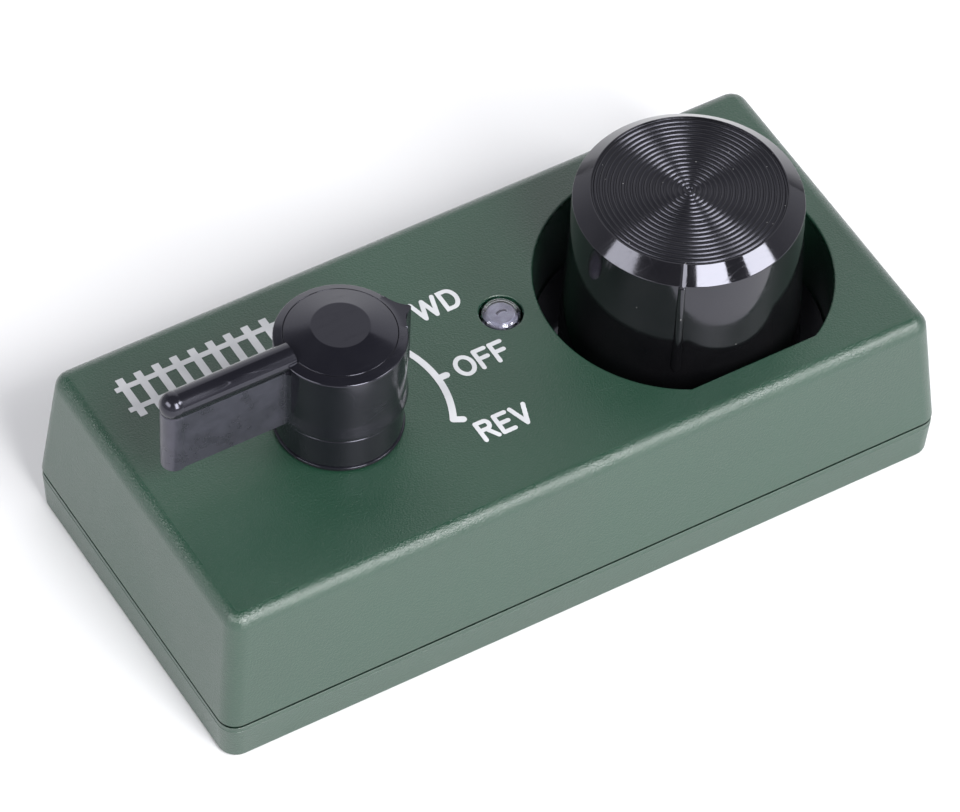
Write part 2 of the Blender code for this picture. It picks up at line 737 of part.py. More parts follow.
def make_lever(carrier):
    seat_z = HUB_RIM_Z - CAP_SEAT
    ceiling_z = seat_z - HUB_CEILING
    seat_radius = CAP_RADIUS + GAP
    rim_drop = (HUB_RADIUS - seat_radius) * math.tan(math.radians(25))
    boss_radius = SHAFT_BORE + HUB_WALL
    profile = [
        (SHAFT_BORE, HUB_RIM_Z),
        (CAP_RADIUS, HUB_RIM_Z),
        (HUB_RADIUS - GAP, HUB_RIM_Z - rim_drop),
        (HUB_RADIUS, HUB_RIM_Z - rim_drop - GAP),
        (HUB_RADIUS, HUB_FOOT_Z + HUB_SKIRT_RISE),
        (HUB_SKIRT_RADIUS, HUB_FOOT_Z + HUB_SKIRT),
        (HUB_SKIRT_RADIUS, HUB_FOOT_Z + GAP),
        (HUB_SKIRT_RADIUS - GAP, HUB_FOOT_Z),
        (HUB_RADIUS - HUB_WALL, HUB_FOOT_Z),
        (HUB_RADIUS - HUB_WALL, ceiling_z),
        (boss_radius, ceiling_z),
        (boss_radius, HUB_FOOT_Z + GAP),
        (SHAFT_BORE, HUB_FOOT_Z + GAP),
    ]
    place = (LEVER_X, CONTROL_Y, 0)
    lever = turned("direction_lever", profile, place, "black_gloss", steps=48, closed=True)

    inside = HUB_RADIUS - HUB_WALL / 2
    web_length = ARM_LENGTH - inside
    web_z = ARM_FOOT_Z + GAP
    web = box(
        "arm_web",
        (web_length, ARM_THICKNESS, ARM_BEAD_Z - web_z),
        (LEVER_X - inside - web_length / 2, CONTROL_Y, web_z),
    )
    bead = cylinder("arm_bead", ARM_BEAD_RADIUS, ARM_LENGTH - CAP_RADIUS + BITE, (0, 0, 0))
    bead.matrix_world = Matrix.Translation((LEVER_X - ARM_LENGTH, CONTROL_Y, ARM_BEAD_Z)) @ Matrix.Rotation(
        math.pi / 2, 4, "Y"
    )
    tip = (LEVER_X - ARM_LENGTH, CONTROL_Y, ARM_FOOT_Z)
    post = cylinder("arm_post", POST_RADIUS, ARM_BEAD_Z - ARM_FOOT_Z, tip)
    bm = bmesh.new()
    bmesh.ops.create_uvsphere(bm, u_segments=SMALL_ROUND, v_segments=SMALL_ROUND // 2, radius=BALL_RADIUS)
    ball = add_object("arm_ball", mesh_from(bm, "arm_ball"), at=(tip[0], tip[1], ARM_BEAD_Z))
    join(lever, web, bead, post, ball, pointer_wedge())
    cap_room = cylinder(
        "cap_room", seat_radius, CAP_RISE + CAP_SEAT + BALL_RADIUS, (LEVER_X, CONTROL_Y, seat_z), steps=48
    )
    cut(lever, cap_room)

    cap_z = seat_z + GAP
    cap_profile = [
        (0, HUB_RIM_Z + CAP_RISE),
        (CAP_FLAT_RADIUS, HUB_RIM_Z + CAP_RISE),
        (CAP_RADIUS, HUB_RIM_Z),
        (CAP_RADIUS, cap_z),
        (0, cap_z),
    ]
    cap = turned("lever_cap", cap_profile, place, "black_gloss", steps=48)
    rotor_z = SWITCH_TOP_Z - SWITCH_HEIGHT / 2
    shaft_foot = rotor_z - ROTOR_THICKNESS
    shaft_place = (LEVER_X, CONTROL_Y, shaft_foot)
    shaft = cylinder("switch_shaft", SHAFT_RADIUS, seat_z - GAP - shaft_foot, shaft_place, "brass")
    rotor = ring(
        "switch_rotor", SHAFT_BORE, ROTOR_RADIUS, rotor_z, rotor_z + ROTOR_THICKNESS, place, "phenolic"
    )
    carry(carrier, lever, cap, shaft, rotor)


def pointer_wedge():
    """The three-cornered pointer that runs down the hub, opposite the arm."""
    bm = bmesh.new()
    root_x = HUB_RADIUS * math.cos(POINTER_HALF_ANGLE) - HUB_WALL / 2
    root_y = HUB_RADIUS * math.sin(POINTER_HALF_ANGLE) + HUB_WALL / 3
    outline = [(root_x, -root_y), (POINTER_LENGTH, 0), (root_x, root_y)]
    verts = [bm.verts.new((LEVER_X + x, CONTROL_Y + y, HUB_FOOT_Z + 2 * GAP)) for x, y in outline]
    face = bm.faces.new(verts)
    grown = bmesh.ops.extrude_face_region(bm, geom=[face])
    top = [part for part in grown["geom"] if isinstance(part, bmesh.types.BMVert)]
    bmesh.ops.translate(bm, vec=(0, 0, POINTER_TOP_Z - HUB_FOOT_Z - 2 * GAP), verts=top)
    return add_object("pointer_wedge", mesh_from(bm, "pointer_wedge"))


def make_collar_and_switch():
    place = (LEVER_X, CONTROL_Y, 0)
    neck_z = CEILING_Z - COLLAR_NECK_DEPTH
    foot_z = CASE_TOP_Z + GAP
    collar = [
        (COLLAR_BORE_RADIUS, collar_top_z()),
        (COLLAR_RADIUS - GAP, collar_top_z()),
        (COLLAR_RADIUS, collar_top_z() - GAP),
        (COLLAR_RADIUS, foot_z + COLLAR_RING_HEIGHT),
        (COLLAR_RADIUS + COLLAR_RING, foot_z + COLLAR_RING_HEIGHT),
        (COLLAR_RADIUS + COLLAR_RING, foot_z),
        (COLLAR_NECK_RADIUS, foot_z),
        (COLLAR_NECK_RADIUS, neck_z),
        (COLLAR_BORE_RADIUS, neck_z),
    ]
    turned("lever_collar", collar, place, "black_gloss", steps=48, closed=True)
    clip_top = CEILING_Z - GAP
    clip_inner = COLLAR_NECK_RADIUS + GAP
    clip_outer = clip_inner + CLIP_WALL
    ring(
        "collar_clip", clip_inner, clip_outer, clip_top - CLIP_THICKNESS, clip_top, place, "steel", steps=48
    )

    low = SWITCH_TOP_Z - SWITCH_HEIGHT
    body = box(
        "switch_body", (SWITCH_SIZE, SWITCH_SIZE, SWITCH_HEIGHT), (LEVER_X, CONTROL_Y, low), "component"
    )
    room_size = SWITCH_SIZE - 2 * SWITCH_SKIN
    room = box(
        "switch_room", (room_size, room_size, SWITCH_HEIGHT - SWITCH_SKIN + THROUGH), (
            LEVER_X, CONTROL_Y, low - THROUGH
        )
    )
    barrel = cylinder(
        "switch_barrel",
        switch_bushing_radius(),
        SWITCH_BUSHING_LENGTH + SWITCH_SKIN / 2,
        (LEVER_X, CONTROL_Y, SWITCH_TOP_Z - SWITCH_SKIN / 2),
    )
    bore = cylinder(
        "switch_bore",
        SHAFT_BORE,
        SWITCH_BUSHING_LENGTH + SWITCH_HEIGHT + THROUGH,
        (LEVER_X, CONTROL_Y, low),
    )
    join(body, barrel)
    cut(body, room, bore)
    card_z = low - GAP - SWITCH_SKIN
    box("switch_card", (SWITCH_SIZE, SWITCH_SIZE, SWITCH_SKIN), (LEVER_X, CONTROL_Y, card_z), "phenolic")
    lead_foot = BOARD_TOP_Z + GAP
    for number in range(3):
        x = LEVER_X + (number - 1) * SWITCH_SIZE / 3
        box(
            f"switch_terminal_{number + 1}",
            (PIN_RADIUS * 4, PIN_RADIUS, card_z - GAP - lead_foot),
            (x, CONTROL_Y, lead_foot),
            "brass",
        )


# ---------------------------------------------------------------- power light


def make_power_light():
    room_radius = LED_RADIUS + GAP
    flange_top = CEILING_Z - GAP
    flange_low = flange_top - LENS_FLANGE
    lens = [
        (0, CASE_TOP_Z + LENS_PROUD),
        (LENS_RADIUS * 0.6, CASE_TOP_Z + LENS_PROUD * 0.7),
        (LENS_RADIUS * 0.9, CASE_TOP_Z),
        (LENS_RADIUS, CASE_TOP_Z - LENS_PROUD),
        (LENS_RADIUS, flange_top),
        (LENS_RADIUS + LENS_FLANGE, flange_top),
        (LENS_RADIUS + LENS_FLANGE, flange_low),
        (room_radius, flange_low),
        (room_radius, CEILING_Z),
        (0, CEILING_Z),
    ]
    turned("led_lens", lens, (LED_X, LED_Y, 0), "lens", steps=32)
    led_top = CEILING_Z - GAP
    led_low = led_top - LED_HEIGHT
    rim = LED_RADIUS + GAP / 2
    emitter = [
        (0, led_top),
        (LED_RADIUS * 0.7, led_top - LED_RADIUS * 0.3),
        (LED_RADIUS, led_top - LED_RADIUS),
        (LED_RADIUS, led_low + LED_RADIUS / 3),
        (rim, led_low + LED_RADIUS / 3),
        (rim, led_low),
        (0, led_low),
    ]
    turned("led_emitter", emitter, (LED_X, LED_Y, 0), "lens", steps=SMALL_ROUND)
    for number, side in enumerate((-1, 1), 1):
        x = LED_X + side * LED_LEAD_PITCH / 2
        route = [(x, LED_Y, led_low - GAP), (x, LED_Y, BOARD_TOP_Z + GAP)]
        wire(f"led_lead_{number}", route, LED_LEAD_RADIUS, "steel")


# ---------------------------------------------------------------- circuit board


def board_size():
    return CASE_LENGTH - 2 * BOARD_END_CLEARANCE, CASE_WIDTH - 2 * BOARD_SIDE_CLEARANCE


def board_screw_places():
    length, width = board_size()
    x = length / 2 - BOARD_SCREW_INSET
    y = width / 2 - BOARD_SCREW_INSET
    return [(-x, -y), (x, -y), (x, y), (-x, y)]


def make_board():
    length, width = board_size()
    board = box("circuit_board", (length, width, BOARD_THICKNESS), (0, 0, BOARD_Z), "board")
    head_z = BOARD_TOP_Z + GAP
    shank = BOARD_THICKNESS + STANDOFF_HEIGHT
    for number, (x, y) in enumerate(board_screw_places(), 1):
        hole = cylinder(
            f"board_hole_{number}", BOARD_SCREW_RADIUS + GAP, BOARD_THICKNESS + 2 * THROUGH, (
                x, y, BOARD_Z - THROUGH
            )
        )
        cut(board, hole)
        profile = [
            (0, BOARD_SCREW_HEAD_HEIGHT),
            (BOARD_SCREW_HEAD_RADIUS * 0.8, BOARD_SCREW_HEAD_HEIGHT),
            (BOARD_SCREW_HEAD_RADIUS, BOARD_SCREW_HEAD_HEIGHT / 2),
            (BOARD_SCREW_HEAD_RADIUS, 0),
            (BOARD_SCREW_RADIUS, 0),
            (BOARD_SCREW_RADIUS, -shank),
            (0, -shank),
        ]
        turned(f"board_screw_{number}", profile, (x, y, head_z), "steel", steps=16)

    front = -width / 2
    sink_x = (LEVER_X + HUB_RADIUS + LED_X) / 2
    sink_y = front + SINK_INSET
    sink_size = (SINK_LENGTH, SINK_THICKNESS, SINK_HEIGHT)
    sink = box("heat_sink", sink_size, (sink_x, sink_y, head_z), "aluminium")
    fin_y = sink_y - SINK_THICKNESS / 2 - FIN_REACH / 2 + GAP
    for number in range(FIN_COUNT):
        fin_x = sink_x + (number - (FIN_COUNT - 1) / 2) * FIN_PITCH
        fin = box(f"sink_fin_{number}", (FIN_THICKNESS, FIN_REACH, SINK_HEIGHT), (fin_x, fin_y, head_z))
        join(sink, fin)
    transistor_y = sink_y + SINK_THICKNESS / 2 + GAP + TRANSISTOR_SIZE[1] / 2
    box("power_transistor", TRANSISTOR_SIZE, (sink_x, transistor_y, head_z), "component", bevel=GAP)
    place = (LEVER_X - SWITCH_SIZE / 2 - 2 * CAPACITOR_RADIUS, front + CAPACITOR_INSET, head_z)
    cylinder("filter_capacitor_1", CAPACITOR_RADIUS, CAPACITOR_HEIGHT, place, "sleeve", steps=32)
    place = (LED_X, sink_y + CAPACITOR_INSET, head_z)
    small = SMALL_CAPACITOR_SHARE
    cylinder(
        "filter_capacitor_2", CAPACITOR_RADIUS * small, CAPACITOR_HEIGHT * small, place, "sleeve", steps=32
    )
    box(
        "bridge_rectifier",
        RECTIFIER_SIZE,
        (LEVER_X, front + RECTIFIER_INSET, head_z),
        "component",
        bevel=GAP,
    )
    box("control_chip", CHIP_SIZE, (LED_X - CHIP_TO_LED, LED_Y, head_z), "component", bevel=GAP)
    place = (LEVER_X + BREAKER_TO_LEVER[0], CONTROL_Y + BREAKER_TO_LEVER[1], head_z)
    box("overload_breaker", BREAKER_SIZE, place, "brass", bevel=GAP)
    place = (DIAL_X, front + RESISTOR_RADIUS, head_z + RESISTOR_RADIUS)
    cylinder("sense_resistor", RESISTOR_RADIUS, RESISTOR_LENGTH, place, "phenolic", along="Y")


# ---------------------------------------------------------------- sockets at the back


def socket_x(inset):
    return -CASE_LENGTH / 2 + inset


def socket_face_y():
    """Where the sockets' mouths stand, behind the case's drafted back wall."""
    return half_size(SOCKET_Z, HOUSING_DRAFT, PARTING_Z)[1] - SOCKET_RECESS


def socket_cutters():
    wall_start = socket_face_y() - THROUGH
    depth = SOCKET_RECESS + 2 * THROUGH
    jack = cylinder(
        "jack_opening",
        JACK_SIZE / 2 + GAP,
        depth,
        (socket_x(JACK_INSET), wall_start, SOCKET_Z),
        steps=32,
        along="Y",
    )
    track = box(
        "track_opening",
        (TRACK_SOCKET_WIDTH + 2 * GAP, depth, TRACK_SOCKET_HEIGHT + 2 * GAP),
        (socket_x(TRACK_SOCKET_INSET), wall_start + depth / 2, SOCKET_Z - TRACK_SOCKET_HEIGHT / 2 - GAP),
    )
    contact_width = CONTACT_PITCH + CONTACT_WIDTH + 4 * GAP
    contacts = box(
        "contact_opening",
        (contact_width, depth, CONTACT_HEIGHT + 2 * GAP),
        (socket_x(CONTACT_INSET), wall_start + depth / 2, SOCKET_Z - CONTACT_HEIGHT / 2 - GAP),
    )
    return jack, track, contacts


def make_sockets():
    mouth = socket_face_y()
    x = socket_x(JACK_INSET)
    jack_place = (x, mouth - JACK_DEPTH / 2, SOCKET_Z - JACK_SIZE / 2)
    jack = box("dc_jack", (JACK_SIZE, JACK_DEPTH, JACK_SIZE), jack_place, "socket")
    bore_place = (x, mouth - JACK_BORE_DEPTH, SOCKET_Z)
    cut(jack, cylinder("jack_bore", JACK_BORE_RADIUS, JACK_BORE_DEPTH + THROUGH, bore_place, along="Y"))
    pin_length = JACK_BORE_DEPTH - JACK_PIN_SET_BACK
    pin_place = (x, mouth - JACK_BORE_DEPTH + GAP, SOCKET_Z)
    cylinder("dc_jack_pin", JACK_PIN_RADIUS, pin_length, pin_place, "steel", steps=16, along="Y")

    x = socket_x(TRACK_SOCKET_INSET)
    front_wall = mouth - TRACK_SOCKET_DEPTH
    socket = box(
        "track_socket",
        (TRACK_SOCKET_WIDTH, TRACK_SOCKET_DEPTH, TRACK_SOCKET_HEIGHT),
        (x, mouth - TRACK_SOCKET_DEPTH / 2, SOCKET_Z - TRACK_SOCKET_HEIGHT / 2),
        "socket",
    )
    room_width = TRACK_SOCKET_WIDTH - 2 * TRACK_SOCKET_WALL
    room_height = TRACK_SOCKET_HEIGHT - 2 * TRACK_SOCKET_WALL
    room_depth = TRACK_SOCKET_DEPTH - TRACK_SOCKET_WALL + THROUGH
    room = box(
        "track_room",
        (room_width, room_depth, room_height),
        (x, front_wall + TRACK_SOCKET_WALL + room_depth / 2, SOCKET_Z - room_height / 2),
    )
    cut(socket, room)
    for number, side in enumerate((-1, 1), 1):
        pin_x = x + side * TRACK_PIN_PITCH / 2
        pin_y = front_wall + TRACK_SOCKET_WALL + GAP
        cylinder(
            f"track_pin_{number}",
            JACK_PIN_RADIUS,
            TRACK_PIN_LENGTH,
            (pin_x, pin_y, SOCKET_Z),
            "brass",
            16,
            "Y",
        )

    x = socket_x(CONTACT_INSET)
    block_width = CONTACT_PITCH + 2 * CONTACT_WIDTH
    block_y = mouth - GAP - CONTACT_BLOCK_DEPTH / 2
    block_z = SOCKET_Z - CONTACT_HEIGHT / 2
    box(
        "contact_block", (block_width, CONTACT_BLOCK_DEPTH, CONTACT_HEIGHT), (x, block_y, block_z), "socket"
    )
    for number, side in enumerate((-1, 1), 1):
        place = (x + side * CONTACT_PITCH / 2, mouth + CONTACT_THICKNESS / 2, block_z)
        size = (CONTACT_WIDTH, CONTACT_THICKNESS, CONTACT_HEIGHT)
        box(f"accessory_contact_{number}", size, place, "brass", bevel=CONTACT_THICKNESS / 3)


# ---------------------------------------------------------------- assembly

make_housing()
make_base()
make_case_screws_and_feet()
make_speed_control()
make_dial(pivot("dial_axis", Vector((DIAL_X, CONTROL_Y, 0))))
make_collar_and_switch()
make_lever(pivot("lever_axis", Vector((LEVER_X, CONTROL_Y, 0))))
make_power_light()
make_board()
make_sockets()
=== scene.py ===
import json
import math

import bmesh
import bpy
from mathutils import Matrix, Vector


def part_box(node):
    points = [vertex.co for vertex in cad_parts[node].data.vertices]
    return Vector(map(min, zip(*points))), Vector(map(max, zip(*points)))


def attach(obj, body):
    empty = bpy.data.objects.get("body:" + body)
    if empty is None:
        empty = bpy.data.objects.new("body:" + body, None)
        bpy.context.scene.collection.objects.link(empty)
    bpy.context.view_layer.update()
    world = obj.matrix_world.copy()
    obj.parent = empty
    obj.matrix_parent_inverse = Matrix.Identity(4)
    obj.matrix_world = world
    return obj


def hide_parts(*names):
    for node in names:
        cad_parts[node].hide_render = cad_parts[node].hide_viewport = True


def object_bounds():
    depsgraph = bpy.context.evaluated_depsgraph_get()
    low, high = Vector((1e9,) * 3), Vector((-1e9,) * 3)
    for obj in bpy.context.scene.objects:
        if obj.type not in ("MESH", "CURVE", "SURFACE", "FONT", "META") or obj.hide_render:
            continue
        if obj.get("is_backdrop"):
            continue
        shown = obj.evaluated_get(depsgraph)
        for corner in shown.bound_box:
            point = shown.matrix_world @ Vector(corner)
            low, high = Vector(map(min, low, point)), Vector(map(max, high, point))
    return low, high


# The looks of a desk-top train set controller: a grained green case in two drafted halves,
# a gloss black speed dial with a turned top in a round well, and a black direction lever.
# Metres, +Z up, +X along the case towards the dial, +Y towards the sockets at the back.

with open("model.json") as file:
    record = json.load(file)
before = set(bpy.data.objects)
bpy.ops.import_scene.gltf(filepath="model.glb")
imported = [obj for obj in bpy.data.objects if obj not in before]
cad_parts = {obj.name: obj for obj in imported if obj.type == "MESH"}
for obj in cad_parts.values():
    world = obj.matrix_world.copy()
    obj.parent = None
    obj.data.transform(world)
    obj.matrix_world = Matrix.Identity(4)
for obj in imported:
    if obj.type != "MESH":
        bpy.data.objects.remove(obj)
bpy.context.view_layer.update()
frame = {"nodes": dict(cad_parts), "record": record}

MM = 0.001


# ---------------------------------------------------------------- places taken from the frame


def axis_of(node):
    """The upright axis through the middle of a node, as a point at the origin's height."""
    low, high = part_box(node)
    return Vector(((low.x + high.x) / 2, (low.y + high.y) / 2, 0))


DIAL = axis_of("pot_shaft")
LEVER = axis_of("switch_shaft")
LIGHT = axis_of("led_lens")

# Case halves
TOP_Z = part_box("upper_housing")[1].z
UNDERSIDE_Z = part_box("base_plate")[0].z
PARTING_GAP = 0.58 * MM
PARTING_Z = 9.2 * MM
HOUSING_Z = PARTING_Z + PARTING_GAP / 2
BASE_TOP_Z = PARTING_Z - PARTING_GAP / 2
HOUSING_DRAFT = math.radians(5)
BASE_DRAFT = math.radians(3)
HALF_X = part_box("upper_housing")[1].x + PARTING_GAP / 2 * math.tan(HOUSING_DRAFT)
HALF_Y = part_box("upper_housing")[1].y + PARTING_GAP / 2 * math.tan(HOUSING_DRAFT)
WALL = 2.2 * MM
CORNER_RADIUS = 3.4 * MM
TOP_FILLET = 3.0 * MM
EDGE_FILLET = 0.15 * MM
BASE_FILLET = 0.6 * MM
BAND_HEIGHT = 1.1 * MM
BAND_INSET = 0.08 * MM
GROOVE_WALL = 0.12 * MM
GROOVE_FLOOR = 1.4 * MM
LIP_HEIGHT = 2.2 * MM
LIP_WALL = 1.4 * MM
LIP_CLEARANCE = 0.35 * MM

# Well
WELL_RADIUS = 27.5 * MM
WELL_FLAT_Y = -26.05 * MM
WELL_FLOOR_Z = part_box("well_plate")[0].z - 0.3 * MM
WELL_WALL = 1.8 * MM
WELL_LIP = 0.45 * MM

# Dial
DISC_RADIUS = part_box("dial_inlay")[1].x - DIAL.x
DIAL_TOP_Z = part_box("speed_dial")[1].z
DIAL_FOOT_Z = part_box("speed_dial")[0].z
SHOULDER_RADIUS = 21.05 * MM
SHOULDER_Z = DIAL_TOP_Z - 2.6 * MM
DIAL_FOOT_RADIUS = 22.3 * MM
DIAL_WALL = 2.2 * MM
POINTER_TURN = math.radians(235)
RIB_TOP_WIDTH = 1.3 * MM
RIB_FOOT_WIDTH = 2.0 * MM
RIB_REACH = 0.6 * MM
RIB_FOOT_Z = 35.0 * MM
GROOVE_PITCH = 1.0 * MM
GROOVE_DEPTH = 0.34 * MM

# Lever
HUB_RADIUS = 12.0 * MM
HUB_SKIRT_RADIUS = 12.3 * MM
HUB_FOOT_Z = 44.4 * MM
HUB_RIM_Z = 59.9 * MM
CAP_RADIUS = 10.2 * MM
CAP_FLAT_RADIUS = 5.3 * MM
CAP_TOP_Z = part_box("lever_cap")[1].z
CAP_SEAT_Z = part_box("lever_cap")[0].z
SHAFT_BORE = 3.3 * MM
ARM_REACH = 33.5 * MM
ARM_FOOT_Z = 43.9 * MM
WEB_HALF = 2.3 * MM
BEAD_RADIUS = 2.5 * MM
BEAD_Z = 59.3 * MM
POST_RADIUS = 2.45 * MM
BALL_RADIUS = 2.62 * MM
POINTER_REACH = 14.3 * MM
POINTER_TOP_Z = 59.3 * MM
COLLAR_RADIUS = 11.6 * MM
COLLAR_NECK = 8.0 * MM
COLLAR_BORE = 5.4 * MM

# Light
LENS_RADIUS = 3.7 * MM

# Prints
STROKE = 0.87 * MM
CAP_HEIGHT = 5.0 * MM
SCALE_RADIUS = 20.5 * MM
SCALE_STROKE = 1.3 * MM
SCALE_SWEEP = math.radians(28)
TICK_END = 22.9 * MM

# Underside
SCREW_INSET = (9.5 * MM, 9.0 * MM)
SCREW_HEAD_RADIUS = 2.7 * MM
FOOT_INSET = (21.0 * MM, 10.0 * MM)
FOOT_RADIUS = 4.5 * MM
VENT_COUNT = 7
VENT_PITCH = 5.0 * MM
VENT_LENGTH = 18.0 * MM
VENT_WIDTH = 2.0 * MM

# Sockets
SOCKET_Z = 17.0 * MM
JACK_X = axis_of("dc_jack").x
TRACK_X = axis_of("track_socket").x
CONTACT_X = axis_of("contact_block").x


# ---------------------------------------------------------------- shape tools


def new_object(name, mesh):
    obj = bpy.data.objects.new(name, mesh)
    bpy.context.scene.collection.objects.link(obj)
    return obj


def from_bmesh(name, bm):
    bmesh.ops.recalc_face_normals(bm, faces=bm.faces)
    mesh = bpy.data.meshes.new(name)
    bm.to_mesh(mesh)
    bm.free()
    return new_object(name, mesh)


def plain(obj):
    """Works an object's modifiers into its mesh."""
    graph = bpy.context.evaluated_depsgraph_get()
    obj.data = bpy.data.meshes.new_from_object(obj.evaluated_get(graph))
    obj.modifiers.clear()
    return obj


def worked(obj, joined=(), cut=()):
    """Joins solids to an object and cuts others out of it. They are used up."""
    for operation, solids in (("UNION", joined), ("DIFFERENCE", cut)):
        for solid in solids:
            modifier = obj.modifiers.new(solid.name, "BOOLEAN")
            modifier.operation = operation
            modifier.object = solid
    plain(obj)
    for solid in (*joined, *cut):
        bpy.data.objects.remove(solid)
    return obj


def smooth(obj, crease):
    """Smooth shading with a crease at each edge sharper than this, flats kept flat."""
    obj.data.shade_smooth()
    obj.data.set_sharp_from_angle(angle=math.radians(crease))
    weighted = obj.modifiers.new("flat_faces", "WEIGHTED_NORMAL")
    weighted.keep_sharp = True
    return plain(obj)


def piece(obj, finish, body, replaces=(), crease=32):
    """Gives a shape its finish and its place in the frame."""
    smooth(obj, crease)
    obj.data.materials.clear()
    obj.data.materials.append(finish)
    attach(obj, body)
    if replaces:
        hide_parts(*replaces)
    return obj


def softened(points, closed=False, steps=5):
    """Rounds a line's corners. A point is (across, up), or (across, up, radius)."""
    made = []
    count = len(points)
    for i, point in enumerate(points):
        here = Vector(point[:2])
        radius = point[2] if len(point) > 2 else 0
        if not radius or (not closed and i in (0, count - 1)):
            made.append(tuple(here))
            continue
        back = Vector(points[i - 1][:2]) - here
        on = Vector(points[(i + 1) % count][:2]) - here
        half = back.angle(on) / 2
        run = min(radius / math.tan(half), back.length * 0.49, on.length * 0.49)
        back.normalize()
        on.normalize()
        centre = here + (back + on).normalized() * (run / math.cos(half))
        first = here + back * run - centre
        last = here + on * run - centre
        start = math.atan2(first.y, first.x)
        turn = (math.atan2(last.y, last.x) - start + math.pi) % math.tau - math.pi
        for k in range(steps + 1):
            angle = start + turn * k / steps
            made.append(
                (centre.x + first.length * math.cos(angle), centre.y + first.length * math.sin(angle))
            )
    return made


def turned(name, at, profile, steps=96, closed=False):
    """A piece turned about an upright axis, from (radius, z) points, top first."""
    bm = bmesh.new()
    rings = []
    for radius, z in profile:
        count = 1 if radius < 1e-6 else steps
        turns = [math.tau * i / steps for i in range(count)]
        rings.append(
            [bm.verts.new((at.x + radius * math.cos(a), at.y + radius * math.sin(a), z)) for a in turns]
        )
    following = rings[1:] + rings[:1] if closed else rings[1:]
    for upper, lower in zip(rings, following):
        for i in range(steps):
            j = (i + 1) % steps
            around = (
                upper[i % len(upper)], upper[j % len(upper)], lower[j % len(lower)], lower[i % len(lower)]
            )
            corners = list(dict.fromkeys(around))
            if len(corners) > 2:
                bm.faces.new(corners)
    return from_bmesh(name, bm)


def lofted(name, loops):
    """A closed solid through loops of points, each with as many points as the next."""
    bm = bmesh.new()
    rings = [[bm.verts.new(point) for point in loop] for loop in loops]
    for lower, upper in zip(rings, rings[1:]):
        for i in range(len(lower)):
            j = (i + 1) % len(lower)
            bm.faces.new((lower[i], lower[j], upper[j], upper[i]))
    bm.faces.new(rings[0])
    bm.faces.new(rings[-1])
    return from_bmesh(name, bm)


def rectangle(half_x, half_y, radius, z, at=(0, 0), steps=8):
    """A loop round a rectangle with round corners."""
    loop = []
    for quarter, (side_x, side_y) in enumerate(((1, 1), (-1, 1), (-1, -1), (1, -1))):
        x = at[0] + side_x * (half_x - radius)
        y = at[1] + side_y * (half_y - radius)
        for k in range(steps + 1):
            angle = math.pi / 2 * (quarter + k / steps)
            loop.append((x + radius * math.cos(angle), y + radius * math.sin(angle), z))
    return loop


def well_outline(grow, z, steps=120):
    """A loop round the dial's well, a circle cut off by a flat, grown outwards."""
    radius = WELL_RADIUS + grow
    start = math.asin((WELL_FLAT_Y - grow - DIAL.y) / radius)
    sweep = math.pi - 2 * start
    turns = [start + sweep * k / steps for k in range(steps + 1)]
    return [(DIAL.x + radius * math.cos(a), DIAL.y + radius * math.sin(a), z) for a in turns]


def lip(radius, low, high, steps=5):
    """(outward, z) steps of a cutter that leaves a round edge where it breaks the surface at high."""
    made = [(0, low)]
    for k in range(steps + 1):
        angle = math.pi / 2 * k / steps
        made.append((radius * (1 - math.cos(angle)), high - radius + radius * math.sin(angle)))
    made.append((radius, high + MM))
    return made


def hole(name, at, radius, low, high, edge=0.2 * MM):
    """A round cutter that leaves a round edge at its top."""
    profile = [(radius + out, z) for out, z in reversed(lip(edge, low, high))]
    return turned(name, at, [(0, profile[0][1]), *profile, (0, low)], steps=64)


def bar(name, low, high, radius, steps=4):
    """A block between two corners, with round upright edges and softened rims."""
    half_x = (high[0] - low[0]) / 2
    half_y = (high[1] - low[1]) / 2
    at = ((low[0] + high[0]) / 2, (low[1] + high[1]) / 2)
    soft = radius * 0.6
    loops = []
    for inset, z in ((soft, low[2]), (0, low[2] + soft), (0, high[2] - soft), (soft, high[2])):
        loops.append(rectangle(half_x - inset, half_y - inset, radius, z, at, steps))
    return lofted(name, loops)


def backward_bar(name, x, half_x, half_z, radius, start, end, flare):
    """A cutter along +Y with round corners, which flares where it breaks the back wall."""
    loops = []
    for grow, y in ((0, start), (0, end - 2 * flare), (flare, end), (flare, end + MM)):
        loop = rectangle(half_x + grow, half_z + grow, radius + grow, 0, (x, 0))
        loops.append([(px, y, SOCKET_Z + pz) for px, pz, _ in loop])
    return lofted(name, loops)


# ---------------------------------------------------------------- node tools


def put(tree, kind, inputs=(), **settings):
    """Adds a node. inputs gives each socket a value, or another node's output."""
    node = tree.nodes.new(kind)
    for key, value in settings.items():
        setattr(node, key, value)
    for key, value in dict(inputs).items():
        if isinstance(value, bpy.types.NodeSocket):
            tree.links.new(value, node.inputs[key])
        else:
            node.inputs[key].default_value = value
    return node


def calc(tree, operation, *values):
    """A Math node's output."""
    return put(tree, "ShaderNodeMath", dict(enumerate(values)), operation=operation).outputs[0]


def named(tree, group, **values):
    """A node of a shader group with these inputs, as its output."""
    node = put(tree, "ShaderNodeGroup", node_tree=group)
    for label, value in values.items():
        node.inputs[label].default_value = value
    return node.outputs[0]


def object_place(tree):
    return put(tree, "ShaderNodeTexCoord").outputs["Object"]


def vector(tree, **parts):
    """A vector from its X, Y and Z."""
    return put(tree, "ShaderNodeCombineXYZ", parts).outputs[0]


def mix(tree, share, first, second):
    """A colour between two, by a share."""
    return put(tree, "ShaderNodeMix", {0: share, 6: first, 7: second}, data_type="RGBA").outputs[2]


def noise(tree, place, scale, detail):
    return put(tree, "ShaderNodeTexNoise", {"Vector": place, "Scale": scale, "Detail": detail}).outputs[
        "Fac"
    ]


